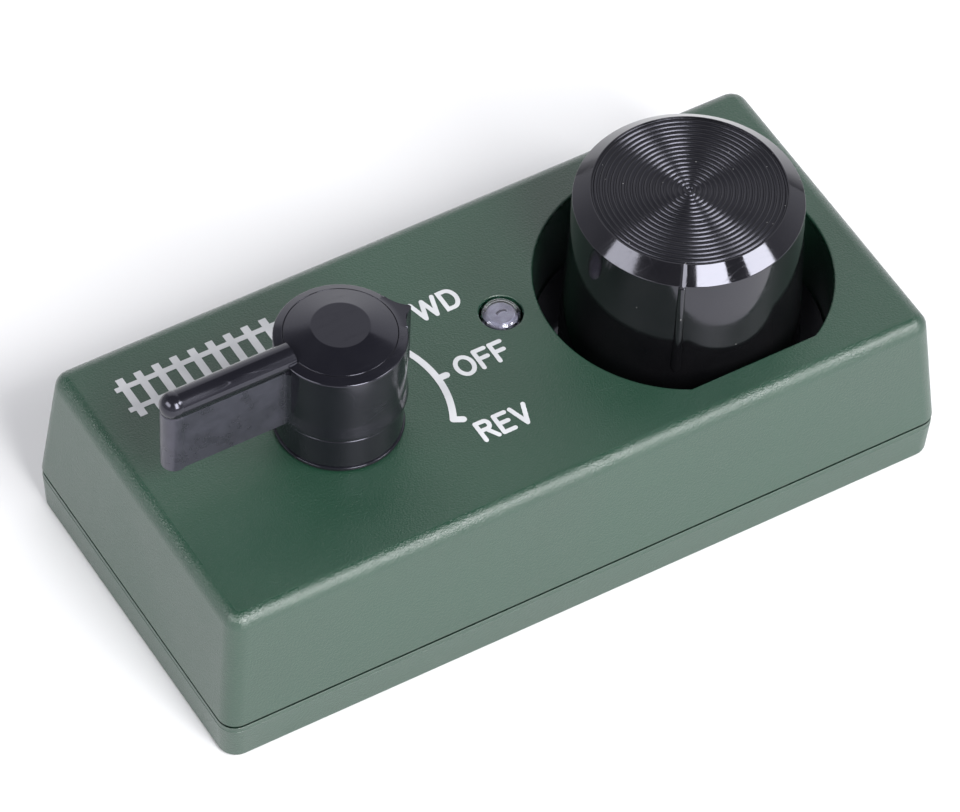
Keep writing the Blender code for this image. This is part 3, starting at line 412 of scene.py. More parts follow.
def span(tree, value, *limits):
    """Maps a value's range to another, 0 to 1 unless given."""
    return put(tree, "ShaderNodeMapRange", {0: value, **dict(enumerate(limits, 1))}).outputs[0]


def shifted(tree, geometry, offset):
    return put(tree, "GeometryNodeTransform", {"Geometry": geometry, "Translation": offset}).outputs[0]


def cuboid(tree, size):
    return put(tree, "GeometryNodeMeshCube", {"Size": size}).outputs["Mesh"]


SOCKETS = {"float": "NodeSocketFloat", "int": "NodeSocketInt", "vector": "NodeSocketVector",
           "color": "NodeSocketColor", "material": "NodeSocketMaterial", "geometry": "NodeSocketGeometry"}


def new_tree(name, kind, inputs, outputs):
    """A node tree with named sockets, with its input and output nodes."""
    tree = bpy.data.node_groups.new(name, kind)
    for label, sort in inputs.items():
        tree.interface.new_socket(name=label, in_out="INPUT", socket_type=SOCKETS[sort])
    for label, sort in outputs.items():
        tree.interface.new_socket(name=label, in_out="OUTPUT", socket_type=SOCKETS[sort])
    given = tree.nodes.new("NodeGroupInput").outputs
    out = tree.nodes.new("NodeGroupOutput").inputs
    return tree, given, out


def growing_tree(name, **inputs):
    """A tree that makes a mesh. Its last input is the finish."""
    sockets = {**inputs, "Finish": "material"}
    return new_tree(name, "GeometryNodeTree", sockets, {"Mesh": "geometry"})


def closing(tree, given, out, geometry):
    """Ends a growing tree: real geometry with its finish on."""
    real = put(tree, "GeometryNodeRealizeInstances", {"Geometry": geometry}).outputs[0]
    coated = put(tree, "GeometryNodeSetMaterial", {"Geometry": real, "Material": given["Finish"]})
    tree.links.new(coated.outputs[0], out["Mesh"])
    return tree


def grown(name, tree, **values):
    """The plain mesh that a tree makes from these inputs."""
    obj = new_object(name, bpy.data.meshes.new(name))
    modifier = obj.modifiers.new(name, "NODES")
    modifier.node_group = tree
    for item in tree.interface.items_tree:
        if item.in_out == "INPUT":
            modifier[item.identifier] = values[item.name.replace(" ", "_").lower()]
    return plain(obj)


def moved(obj, place, turn=0.0, axis="X"):
    """Works a place into a mesh, so that its object stays at the origin."""
    obj.data.transform(Matrix.Translation(place) @ Matrix.Rotation(turn, 4, axis))
    return obj


# ---------------------------------------------------------------- surface effects


def grain_group():
    """Spark-eroded grain: soft pebbles with a finer tooth on them."""
    tree, given, out = new_tree(
        "moulded_grain", "ShaderNodeTree", {"Pebbles": "float"}, {"Height": "float"}
    )
    place = object_place(tree)
    coarse = noise(tree, place, given["Pebbles"], 1.0)
    tooth = noise(tree, place, calc(tree, "MULTIPLY", given["Pebbles"], 2.7), 2.0)
    tree.links.new(calc(tree, "ADD", coarse, calc(tree, "MULTIPLY", tooth, 0.6)), out["Height"])
    return tree


def patches_group():
    """Slow drifts over a surface, from 0 to 1."""
    tree, given, out = new_tree("soft_patches", "ShaderNodeTree", {"Scale": "float"}, {"Mask": "float"})
    drift = noise(tree, object_place(tree), given["Scale"], 3.0)
    tree.links.new(span(tree, drift, 0.3, 0.7), out["Mask"])
    return tree


def scratches_group():
    """Hairline handling marks, thin where two stretched noises cross their middle."""
    tree, given, out = new_tree(
        "hairline_marks", "ShaderNodeTree", {"Scale": "float", "Amount": "float"}, {"Mask": "float"}
    )
    place = object_place(tree)
    lines = []
    for turn in (0.5, 2.1):
        way = put(
            tree,
            "ShaderNodeMapping",
            {"Vector": place, "Rotation": (0.2, 0.1, turn), "Scale": (1.0, 14.0, 5.0)},
        )
        across = noise(tree, way.outputs[0], given["Scale"], 0.0)
        lines.append(span(tree, calc(tree, "ABSOLUTE", calc(tree, "SUBTRACT", across, 0.5)), 0.012, 0.0))
    either = calc(tree, "MAXIMUM", *lines)
    tree.links.new(calc(tree, "MULTIPLY", either, given["Amount"]), out["Mask"])
    return tree


def dust_group():
    """Sparse specks of dust."""
    tree, given, out = new_tree(
        "dust_specks", "ShaderNodeTree", {"Scale": "float", "Amount": "float"}, {"Mask": "float"}
    )
    place = object_place(tree)
    cells = put(tree, "ShaderNodeTexVoronoi", {"Vector": place, "Scale": given["Scale"]})
    near = span(tree, cells.outputs["Distance"], 0.16, 0.06)
    pick = put(tree, "ShaderNodeSeparateColor", {0: cells.outputs["Color"]}).outputs[0]
    rare = calc(tree, "GREATER_THAN", given["Amount"], pick)
    tree.links.new(calc(tree, "MULTIPLY", near, rare), out["Mask"])
    return tree


def haze_and_sheen_group():
    """A patchy greying by handling, growing along X from Start to End, below Top. Because it is kept below
    Top, it is also a painted sheen: it lightens the arm's sides but not the dark top of the bead.
    """
    tree, given, out = new_tree(
        "handled_haze", "ShaderNodeTree", {"Start": "float", "End": "float", "Top": "float"}, {
            "Mask": "float"
        }
    )
    place = object_place(tree)
    apart = put(tree, "ShaderNodeSeparateXYZ", {0: place}).outputs
    grows = span(tree, apart["X"], given["Start"], given["End"])
    grows = calc(tree, "MULTIPLY", grows, calc(tree, "LESS_THAN", apart["Z"], given["Top"]))
    worn = span(tree, noise(tree, place, 320.0, 5.0), 0.30, 0.70, 0.45, 1.0)
    tree.links.new(calc(tree, "MULTIPLY", grows, worn), out["Mask"])
    return tree


def rim_group():
    """The rubbed rim of the case's top: a band of height on the outer edge, worn in patches."""
    tree, given, out = new_tree(
        "rubbed_rim", "ShaderNodeTree", {"Low": "float", "High": "float"}, {"Mask": "float"}
    )
    place = object_place(tree)
    height = put(tree, "ShaderNodeSeparateXYZ", {0: place}).outputs["Z"]
    band = span(tree, height, given["Low"], given["High"])
    below = calc(tree, "LESS_THAN", height, given["High"])
    worn = span(tree, noise(tree, place, 90.0, 2.0), 0.35, 0.65, 0.4, 1.0)
    tree.links.new(calc(tree, "MULTIPLY", calc(tree, "MULTIPLY", band, below), worn), out["Mask"])
    return tree


GRAIN = grain_group()
PATCHES = patches_group()
MARKS = scratches_group()
DUST = dust_group()
RIM = rim_group()
HAZE_AND_SHEEN = haze_and_sheen_group()
# Grey of the lever arm's handling haze. It is partly a painted sheen that lightens the arm's sides.
HAZE_AND_SHEEN_COLOR = (0.036, 0.036, 0.047, 1.0)
DUST_COLOR = (0.30, 0.30, 0.29, 1.0)


def finish(
    name, tones, rough, pebbles=3000.0, relief=0.0, patch=60.0, marks=0.0, mark_scale=30.0, dust=0.0,
    dust_scale=900.0, rim=None, haze_and_sheen=None, **constants
):
    """A surface of two tones in slow patches, with moulded grain, handling marks and dust.
    rough is (least, most), relief the grain's height, and constants go on the shader's own sockets."""
    material = bpy.data.materials.new(name)
    material.use_nodes = True
    tree = material.node_tree
    shader = tree.nodes["Principled BSDF"]
    drift = named(tree, PATCHES, Scale=patch)
    color = mix(tree, drift, (*tones[0], 1.0), (*tones[1], 1.0))
    gloss = span(tree, drift, 0.0, 1.0, *rough)
    height = named(tree, GRAIN, Pebbles=pebbles)
    if rim:
        worn = named(tree, RIM, Low=rim[0], High=rim[1])
        gloss = calc(tree, "SUBTRACT", gloss, calc(tree, "MULTIPLY", worn, rim[2]))
    # Greying from handling, and a painted sheen: a lighter grey colour and more roughness on the lever arm's
    # sides, none on the bead's top.
    if haze_and_sheen:
        haze_and_sheen_share = named(tree, HAZE_AND_SHEEN, Start=haze_and_sheen[0], End=haze_and_sheen[1], Top=haze_and_sheen[2])
        color = mix(tree, haze_and_sheen_share, color, HAZE_AND_SHEEN_COLOR)
        gloss = calc(tree, "ADD", gloss, calc(tree, "MULTIPLY", haze_and_sheen_share, 0.22))
    if marks:
        lines = named(tree, MARKS, Scale=mark_scale, Amount=marks)
        gloss = calc(tree, "ADD", gloss, calc(tree, "MULTIPLY", lines, 0.25))
        height = calc(tree, "SUBTRACT", height, lines)
    if dust:
        specks = named(tree, DUST, Scale=dust_scale, Amount=dust)
        color = mix(tree, specks, color, DUST_COLOR)
        gloss = calc(tree, "ADD", gloss, calc(tree, "MULTIPLY", specks, 0.5))
    tree.links.new(color, shader.inputs["Base Color"])
    tree.links.new(gloss, shader.inputs["Roughness"])
    bump = put(tree, "ShaderNodeBump", {"Height": height, "Strength": 1.0, "Distance": relief})
    tree.links.new(bump.outputs[0], shader.inputs["Normal"])
    for socket, value in constants.items():
        shader.inputs[socket.replace("_", " ").title().replace("Ior", "IOR")].default_value = value
    return material


# ---------------------------------------------------------------- finishes

CASE_TONES = ((0.0060, 0.038, 0.0198), (0.0078, 0.044, 0.0235))
CASE_GREEN = finish(
    "case_green_grain", CASE_TONES, (0.36, 0.46), pebbles=2600, relief=0.12 * MM, patch=35,
    rim=(33.0 * MM, 35.65 * MM, 0.24), specular_ior_level=0.85, coat_weight=0.35, coat_roughness=0.32,
)
GLOSS_BLACK = finish(
    "gloss_black_moulding", ((0.0035, 0.0035, 0.0042), (0.0060, 0.0058, 0.0066)), (0.05, 0.11),
    pebbles=900, relief=0.0015 * MM, patch=120, marks=0.35, mark_scale=45, dust=0.012,
    specular_tint=(0.86, 0.86, 1.0, 1.0), specular_ior_level=0.72,
)
# The arm's haze is greying from handling plus a painted sheen on its sides, kept off the top of the bead.
LEVER_BLACK = finish(
    "handled_black_moulding", ((0.0045, 0.0045, 0.0065), (0.0075, 0.0075, 0.0100)), (0.11, 0.20),
    pebbles=900, relief=0.002 * MM, patch=90, marks=0.4, mark_scale=40, dust=0.008,
    haze_and_sheen=(LEVER.x - 11 * MM, LEVER.x - 14 * MM, BEAD_Z - 1.2 * MM), specular_tint=(0.84, 0.84, 1.0, 1.0),
    specular_ior_level=0.62,
)
TURNED_BLACK = finish(
    "turned_black_face", ((0.004, 0.004, 0.005), (0.006, 0.006, 0.0075)), (0.19, 0.27),
    pebbles=2600, relief=0.002 * MM, patch=140, dust=0.05, dust_scale=1400,
    specular_tint=(0.84, 0.84, 1.0, 1.0),
)
PRINT_WHITE = finish(
    "print_white", ((0.50, 0.51, 0.53), (0.58, 0.59, 0.61)), (0.38, 0.50), pebbles=2600, relief=0.012 * MM,
    patch=200,
)
LENS_CLEAR = finish(
    "lens_clear", ((0.88, 0.88, 0.94), (0.93, 0.93, 0.97)), (0.03, 0.07), pebbles=800, relief=0.002 * MM,
    transmission_weight=1.0, ior=1.46,
)
LIGHT_BODY = finish(
    "light_body", ((0.26, 0.26, 0.32), (0.42, 0.42, 0.50)), (0.10, 0.25), pebbles=1500, relief=0.03 * MM,
    patch=500
)
LIGHT_CUP = finish("light_cup", ((0.03, 0.025, 0.045), (0.05, 0.045, 0.07)), (0.2, 0.3), relief=0.002 * MM)
RUBBER = finish(
    "foot_rubber", ((0.018, 0.018, 0.018), (0.028, 0.028, 0.027)), (0.75, 0.92), pebbles=1800,
    relief=0.03 * MM,
    dust=0.25,
)
STEEL = finish(
    "zinc_plate", ((0.55, 0.56, 0.58), (0.62, 0.61, 0.58)), (0.22, 0.38), pebbles=2500, relief=0.003 * MM,
    patch=400, marks=0.6, mark_scale=120, metallic=1.0,
)
BRASS = finish(
    "bright_brass", ((0.68, 0.48, 0.22), (0.76, 0.57, 0.30)), (0.18, 0.34), pebbles=2500, relief=0.003 * MM,
    patch=400, marks=0.5, mark_scale=120, metallic=1.0,
)
ALUMINIUM = finish(
    "satin_aluminium", ((0.60, 0.61, 0.63), (0.68, 0.69, 0.70)), (0.30, 0.45), pebbles=3000,
    relief=0.006 * MM,
    patch=300, marks=0.5, mark_scale=90, metallic=1.0,
)
BOARD = finish(
    "solder_mask", ((0.030, 0.110, 0.045), (0.045, 0.150, 0.065)), (0.25, 0.40), pebbles=1200,
    relief=0.02 * MM,
    patch=250, dust=0.04,
)
PHENOLIC = finish(
    "brown_laminate", ((0.16, 0.085, 0.035), (0.23, 0.13, 0.060)), (0.50, 0.65), pebbles=2600,
    relief=0.02 * MM,
    patch=300,
)
EPOXY = finish(
    "moulded_epoxy", ((0.020, 0.020, 0.022), (0.030, 0.030, 0.033)), (0.40, 0.55), pebbles=3200,
    relief=0.015 * MM
)
SLEEVE = finish(
    "shrunk_sleeve", ((0.020, 0.036, 0.13), (0.030, 0.050, 0.17)), (0.22, 0.34), pebbles=1500,
    relief=0.006 * MM,
    marks=0.4,
)
NYLON = finish(
    "moulded_nylon", ((0.014, 0.014, 0.016), (0.022, 0.022, 0.024)), (0.34, 0.48), pebbles=2600,
    relief=0.012 * MM,
    dust=0.04,
)
FINISHES = {
    "case_green": CASE_GREEN, "black_gloss": GLOSS_BLACK, "black_turned": TURNED_BLACK, "rubber": RUBBER,
    "steel": STEEL, "brass": BRASS, "aluminium": ALUMINIUM, "clear_lens": LENS_CLEAR, "circuit_board": BOARD,
    "phenolic": PHENOLIC, "component_black": EPOXY, "capacitor_sleeve": SLEEVE, "socket_black": NYLON,
}
for part in frame["record"]["subparts"]:
    node = frame["nodes"][part["node"]]
    node.data.materials.clear()
    node.data.materials.append(FINISHES[part["material_slot"]])


# ---------------------------------------------------------------- case


def case_loops(levels):
    """Loops round the case. A level is (inset from the parting outline, z)."""
    return [
        rectangle(HALF_X - inset, HALF_Y - inset, max(CORNER_RADIUS - inset * share, 0.3 * MM), z)
        for inset, z, share in levels
    ]


def housing_inset(z):
    return (z - PARTING_Z) * math.tan(HOUSING_DRAFT)


def housing_levels():
    """The drafted side, then the round edge of the top."""
    levels = [
        (housing_inset(HOUSING_Z) + EDGE_FILLET, HOUSING_Z, 0),
        (housing_inset(HOUSING_Z) + EDGE_FILLET * 0.3, HOUSING_Z + EDGE_FILLET * 0.3, 0),
        (housing_inset(HOUSING_Z + EDGE_FILLET), HOUSING_Z + EDGE_FILLET, 0),
    ]
    centre_z = TOP_Z - TOP_FILLET
    tangent_z = centre_z + TOP_FILLET * math.sin(HOUSING_DRAFT)
    centre_inset = housing_inset(tangent_z) + TOP_FILLET * math.cos(HOUSING_DRAFT)
    steps = 10
    for k in range(steps + 1):
        angle = HOUSING_DRAFT + (math.pi / 2 - HOUSING_DRAFT) * k / steps
        inset = centre_inset - TOP_FILLET * math.cos(angle)
        share = (inset - housing_inset(tangent_z)) / max(inset, 1e-6)
        levels.append((inset, centre_z + TOP_FILLET * math.sin(angle), share))
    return levels


def corner_places(inset):
    x = HALF_X - inset[0]
    y = HALF_Y - inset[1]
    return [Vector((-x, -y, 0)), Vector((x, -y, 0)), Vector((x, y, 0)), Vector((-x, y, 0))]


def make_housing():
    housing = lofted("case_top_moulding", case_loops(housing_levels()))
    ceiling = TOP_Z - WALL
    room = lofted(
        "room",
        case_loops([
            (housing_inset(HOUSING_Z) + WALL, HOUSING_Z - MM, 0.5),
            (housing_inset(ceiling) + WALL, ceiling, 0.5),
        ]),
    )
    worked(housing, cut=[room])
    well_low = WELL_FLOOR_Z - WELL_WALL
    well_shell = lofted(
        "well_shell", [well_outline(WELL_WALL, well_low), well_outline(WELL_WALL, ceiling + MM / 2)]
    )
    bosses = []
    for number, place in enumerate(corner_places(SCREW_INSET)):
        bosses.append(
            turned(
                f"boss_{number}",
                place,
                [(0, ceiling + MM), (3.2 * MM, ceiling + MM), (3.2 * MM, 5.5 * MM), (0, 5.5 * MM)],
                32,
            ),
        )
    well_space = lofted(
        "well_space", [well_outline(out, z) for out, z in lip(WELL_LIP, WELL_FLOOR_Z, TOP_Z)]
    )
    cutters = [
        well_space,
        turned(
            "bushing_hole", DIAL, [(0, 20 * MM), (4.8 * MM, 20 * MM), (4.8 * MM, 12 * MM), (0, 12 * MM)], 48
        ),
        hole("collar_hole", LEVER, COLLAR_NECK + 0.3 * MM, ceiling - MM, TOP_Z),
        hole("light_hole", LIGHT, LENS_RADIUS + 0.38 * MM, ceiling - MM, TOP_Z, 0.35 * MM),
    ]
    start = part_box("dc_jack")[1].y - 1.2 * MM
    wall_y = HALF_Y - housing_inset(SOCKET_Z)
    jack_half = 5.1 * MM
    cutters.append(
        backward_bar(
            "jack_opening", JACK_X, jack_half, jack_half, jack_half - 0.01 * MM, start, wall_y, 0.3 * MM
        ),
    )
    cutters.append(
        backward_bar("track_opening", TRACK_X, 7.8 * MM, 4.9 * MM, 0.6 * MM, start, wall_y, 0.3 * MM)
    )
    cutters.append(
        backward_bar("contact_opening", CONTACT_X, 5.4 * MM, 4.3 * MM, 0.6 * MM, start, wall_y, 0.3 * MM)
    )
    worked(housing, joined=[well_shell, *bosses], cut=cutters)
    return piece(housing, CASE_GREEN, "case", ["upper_housing"], crease=28)


def base_inset(z):
    return (PARTING_Z - z) * math.tan(BASE_DRAFT)


def slot_tree():
    """Evenly spaced round-ended slots, as solids to cut with."""
    tree, given, out = growing_tree(
        "vent_slots", Count="int", Pitch="float", Length="float", Width="float", Depth="float"
    )
    row = put(
        tree, "GeometryNodeMeshLine", {"Count": given["Count"], "Offset": vector(tree, X=given["Pitch"])}
    ).outputs[0]
    half = calc(tree, "MULTIPLY", given["Width"], 0.5)
    straight = calc(tree, "SUBTRACT", given["Length"], given["Width"])
    ends = [cuboid(tree, vector(tree, X=given["Width"], Y=straight, Z=given["Depth"]))]
    for side in (-0.5, 0.5):
        end = put(
            tree, "GeometryNodeMeshCylinder", {"Vertices": 24, "Radius": half, "Depth": given["Depth"]}
        ).outputs["Mesh"]
        ends.append(shifted(tree, end, vector(tree, Y=calc(tree, "MULTIPLY", straight, side))))
    union = put(tree, "GeometryNodeMeshBoolean", operation="UNION", solver="EXACT")
    for end in ends:
        tree.links.new(end, union.inputs["Mesh 2"])
    slots = put(tree, "GeometryNodeInstanceOnPoints", {"Points": row, "Instance": union.outputs[0]}).outputs[
        0
    ]
    return closing(tree, given, out, slots)


def make_base():
    levels = [(
        base_inset(UNDERSIDE_Z) + BASE_FILLET * (1 - math.sin(a)),
        UNDERSIDE_Z + BASE_FILLET * (1 - math.cos(a)),
        0,
    )
              for a in (0.0, 0.4, 0.8, 1.2, math.pi / 2)]
    band_z = BASE_TOP_Z - BAND_HEIGHT
    levels.append((base_inset(band_z), band_z, 0))
    levels.append((base_inset(band_z) + 0.06 * MM, band_z + 0.06 * MM, 0))
    levels.append((base_inset(BASE_TOP_Z) + BAND_INSET, BASE_TOP_Z - 0.06 * MM, 0))
    levels.append((base_inset(BASE_TOP_Z) + BAND_INSET + 0.06 * MM, BASE_TOP_Z, 0))
    base = lofted("case_base_moulding", case_loops(levels))
    floor = UNDERSIDE_Z + WALL
    lip_inset = WALL + LIP_HEIGHT * math.tan(HOUSING_DRAFT) + LIP_CLEARANCE
    rim = lofted(
        "rim", case_loops([(lip_inset, BASE_TOP_Z - MM, 0.4), (lip_inset, BASE_TOP_Z + LIP_HEIGHT, 0.4)])
    )
    room = lofted(
        "room",
        case_loops([(lip_inset + LIP_WALL, floor, 0.6), (lip_inset + LIP_WALL, BASE_TOP_Z + 4 * MM, 0.6)]),
    )
    worked(base, joined=[rim], cut=[room])
    groove_z = BASE_TOP_Z - GROOVE_FLOOR
    outer = BAND_INSET + GROOVE_WALL
    groove = lofted(
        "groove", case_loops([(outer, groove_z, 0.9), (outer, BASE_TOP_Z + LIP_HEIGHT + MM, 0.9)])
    )
    core = lofted(
        "core",
        case_loops([(lip_inset, groove_z - MM, 0.4), (lip_inset, BASE_TOP_Z + LIP_HEIGHT + 2 * MM, 0.4)]),
    )
    worked(groove, cut=[core])
    worked(base, cut=[groove])
    pads = []
    cutters = []
    for number, place in enumerate(corner_places(SCREW_INSET)):
        pads.append(lofted(f"pad_{number}", [
            rectangle(4.3 * MM, 4.3 * MM, 4.2 * MM, z, (place.x, place.y)) for z in (
                floor - 0.9 * MM, 5.0 * MM
            )
        ]))
        cutters.append(turned(f"counterbore_{number}", place, [
            (0, 7 * MM), (1.6 * MM, 7 * MM), (1.6 * MM, 3.1 * MM), (3.0 * MM, 3.1 * MM),
            (3.0 * MM, UNDERSIDE_Z + 0.3 * MM), (3.5 * MM, UNDERSIDE_Z - 0.2 * MM), (3.5 * MM, -MM), (
                0, -MM
            ),
        ], 48))
    for number, place in enumerate(corner_places(FOOT_INSET)):
        seat = [(0, 1.5 * MM), (4.8 * MM, 1.5 * MM), (4.8 * MM, -MM), (0, -MM)]
        cutters.append(turned(f"foot_seat_{number}", place, seat, 48))
    vents = grown(
        "vents", slot_tree(), count=VENT_COUNT, pitch=VENT_PITCH, length=VENT_LENGTH, width=VENT_WIDTH,
        depth=6 * MM,
        finish=CASE_GREEN,
    )
    moved(vents, Vector((-(VENT_COUNT - 1) / 2 * VENT_PITCH, 0, UNDERSIDE_Z + MM)))
    worked(base, joined=pads, cut=[*cutters, vents])
    return piece(base, CASE_GREEN, "case", ["base_plate"], crease=28)


# ---------------------------------------------------------------- screws and feet


def screw_tree():
    """Domed heads with a cross recess on plain shanks, one at each corner of a rectangle."""
    tree, given, out = growing_tree(
        "case_screws", Across="vector", Head_Radius="float", Head_Height="float", Shank_Radius="float",
        Shank_Length="float", Recess="float",
    )
    # A rounded head: a flat drum kept only where it lies inside a wide ball
    ball_radius = calc(tree, "MULTIPLY", given["Head_Radius"], 1.9)
    ball = put(
        tree, "GeometryNodeMeshUVSphere", {"Segments": 50, "Rings": 41, "Radius": ball_radius}
    ).outputs["Mesh"]
    ball = shifted(tree, ball, vector(tree, Z=calc(tree, "SUBTRACT", given["Head_Height"], ball_radius)))
    drum = put(
        tree, "GeometryNodeMeshCylinder",
        {
            "Vertices": 48,
            "Radius": given["Head_Radius"],
            "Depth": calc(tree, "MULTIPLY", given["Head_Height"], 2.0),
        },
    ).outputs["Mesh"]
    top = vector(tree, Z=given["Head_Height"])
    drum = shifted(tree, drum, top)
    head = put(tree, "GeometryNodeMeshBoolean", operation="INTERSECT", solver="EXACT")
    tree.links.new(ball, head.inputs["Mesh 2"])
    tree.links.new(drum, head.inputs["Mesh 2"])
    shank = put(
        tree, "GeometryNodeMeshCylinder",
        {"Vertices": 22, "Radius": given["Shank_Radius"], "Depth": given["Shank_Length"]},
    ).outputs["Mesh"]
    shank = shifted(tree, shank, vector(tree, Z=calc(tree, "MULTIPLY", given["Shank_Length"], -0.49)))
    whole = put(tree, "GeometryNodeMeshBoolean", operation="UNION", solver="EXACT")
    tree.links.new(head.outputs[0], whole.inputs["Mesh 2"])
    tree.links.new(shank, whole.inputs["Mesh 2"])
    long_way = calc(tree, "MULTIPLY", given["Recess"], 3.6)
    recess = put(
        tree,
        "GeometryNodeMeshBoolean",
        {"Mesh 1": whole.outputs[0]},
        operation="DIFFERENCE",
        solver="EXACT",
    )
    for size in ({"X": long_way, "Y": given["Recess"]}, {"X": given["Recess"], "Y": long_way}):
        size["Z"] = calc(tree, "MULTIPLY", given["Head_Height"], 1.2)
        tree.links.new(shifted(tree, cuboid(tree, vector(tree, **size)), top), recess.inputs["Mesh 2"])
    across = put(tree, "ShaderNodeSeparateXYZ", {0: given["Across"]}).outputs
    corners = put(
        tree, "GeometryNodeMeshGrid", {
            "Size X": across[0], "Size Y": across[1], "Vertices X": 2, "Vertices Y": 2
        }
    ).outputs["Mesh"]
    set_out = put(
        tree, "GeometryNodeInstanceOnPoints",
        {"Points": corners, "Instance": recess.outputs[0], "Rotation": (math.pi, 0.0, 0.35)},
    ).outputs[0]
    return closing(tree, given, out, set_out)


def make_screws_and_feet():
    head_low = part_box("case_screw_1")[0].z
    head_height = 1.6 * MM
    screws = grown(
        "case_screw_set", screw_tree(), across=(
            2 * (HALF_X - SCREW_INSET[0]), 2 * (HALF_Y - SCREW_INSET[1]), 0
        ),
        head_radius=SCREW_HEAD_RADIUS, head_height=head_height, shank_radius=1.3 * MM,
        shank_length=10.5 * MM,
        recess=0.85 * MM, finish=STEEL,
    )
    moved(screws, Vector((0, 0, head_low + head_height)))
    piece(screws, STEEL, "case", [f"case_screw_{n}" for n in range(1, 5)])
    for number, place in enumerate(corner_places(FOOT_INSET), 1):
        profile = softened([
            (0, 1.2 * MM), (FOOT_RADIUS, 1.2 * MM, 0.1 * MM), (FOOT_RADIUS, 0, 0.35 * MM), (
                FOOT_RADIUS - 1.1 * MM, 0, 0.15 * MM
            ),
            (FOOT_RADIUS - 1.5 * MM, 0.3 * MM, 0.15 * MM), (0, 0.3 * MM),
        ])
        foot = turned(f"foot_{number}", place, profile, 64)
        piece(foot, RUBBER, "case", [f"rubber_foot_{number}"])


# ---------------------------------------------------------------- speed dial


def dial_radius(z):
    """Radius of the dial's drafted side at z."""
    share = (SHOULDER_Z - z) / (SHOULDER_Z - DIAL_FOOT_Z)
    return SHOULDER_RADIUS + share * (DIAL_FOOT_RADIUS - SHOULDER_RADIUS)


def by_pointer(out, across, z):
    """A place so far out from the dial's axis towards its pointer, and so far across that way."""
    way = Vector((math.cos(POINTER_TURN), math.sin(POINTER_TURN)))
    return DIAL.x + way.x * out - way.y * across, DIAL.y + way.y * out + way.x * across, z


def chamfer_notch(levels):
    """A V groove down the chamfer over the rib. A level is (z, radius of the chamfer there, half width)."""
    deep = 0.38 * MM
    loops = []
    for z, face, half in levels:
        reach = MM
        wide = half * (deep + reach) / deep
        corners = ((face - deep, 0), (face + reach, wide), (face + reach, -wide))
        loops.append([by_pointer(r, w, z) for r, w in corners])
    return lofted("notch", loops)


def pointer_rib(deep, top_z):
    """The half-round rib down the dial's side, with a round foot."""
    turns = [math.pi * k / 12 - math.pi / 2 for k in range(13)]
    loops = []
    steps = 8
    for k in range(steps + 1):
        round_foot = math.pi / 2 * k / steps
        half = RIB_FOOT_WIDTH / 2
        loops.append(
            (RIB_FOOT_Z - half * math.cos(round_foot), max(math.sin(round_foot), 0.06) * half, RIB_REACH)
        )
    loops.append((top_z - 0.15 * MM, RIB_TOP_WIDTH / 2, RIB_REACH * 0.9))
    loops.append((top_z, RIB_TOP_WIDTH / 2 * 0.7, RIB_REACH * 0.5))
    rings = []
    for z, half, reach in loops:
        face = dial_radius(z)
        ring = [by_pointer(face - deep, across, z) for across in (half, -half)]
        rings.append(ring + [by_pointer(face + reach * math.cos(a), half * math.sin(a), z) for a in turns])
    return lofted("rib", rings)


def make_dial():
    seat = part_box("dial_inlay")[0].z - 0.3 * MM
    ceiling = DIAL_TOP_Z - 7.4 * MM
    boss_low = 24.0 * MM
    edge = DISC_RADIUS + 0.12 * MM
    profile = softened([
        (0, seat), (edge - 0.08 * MM, seat), (edge - 0.08 * MM, DIAL_TOP_Z - 0.02 * MM, 0.04 * MM),
        (edge + 0.15 * MM, DIAL_TOP_Z - 0.02 * MM, 0.1 * MM),
        (SHOULDER_RADIUS, SHOULDER_Z, 0.2 * MM),
        (DIAL_FOOT_RADIUS, DIAL_FOOT_Z, 0.4 * MM),
        (DIAL_FOOT_RADIUS - DIAL_WALL, DIAL_FOOT_Z, 0.2 * MM),
        (dial_radius(ceiling) - DIAL_WALL, ceiling),
        (5.0 * MM, ceiling), (5.0 * MM, boss_low), (SHAFT_BORE, boss_low), (SHAFT_BORE, ceiling), (
            0, ceiling
        ),
    ])
    dial = turned("speed_dial_moulding", DIAL, profile, 160)
    rib = pointer_rib(DIAL_WALL / 2, SHOULDER_Z - 0.15 * MM)
    notch = chamfer_notch([
        (SHOULDER_Z - 0.2 * MM, SHOULDER_RADIUS + 0.15 * MM, 0.42 * MM),
        (DIAL_TOP_Z + 0.1 * MM, edge + 0.1 * MM, 0.80 * MM),
    ])
    worked(dial, joined=[rib], cut=[notch])
    piece(dial, GLOSS_BLACK, "dial", ["speed_dial"], crease=30)


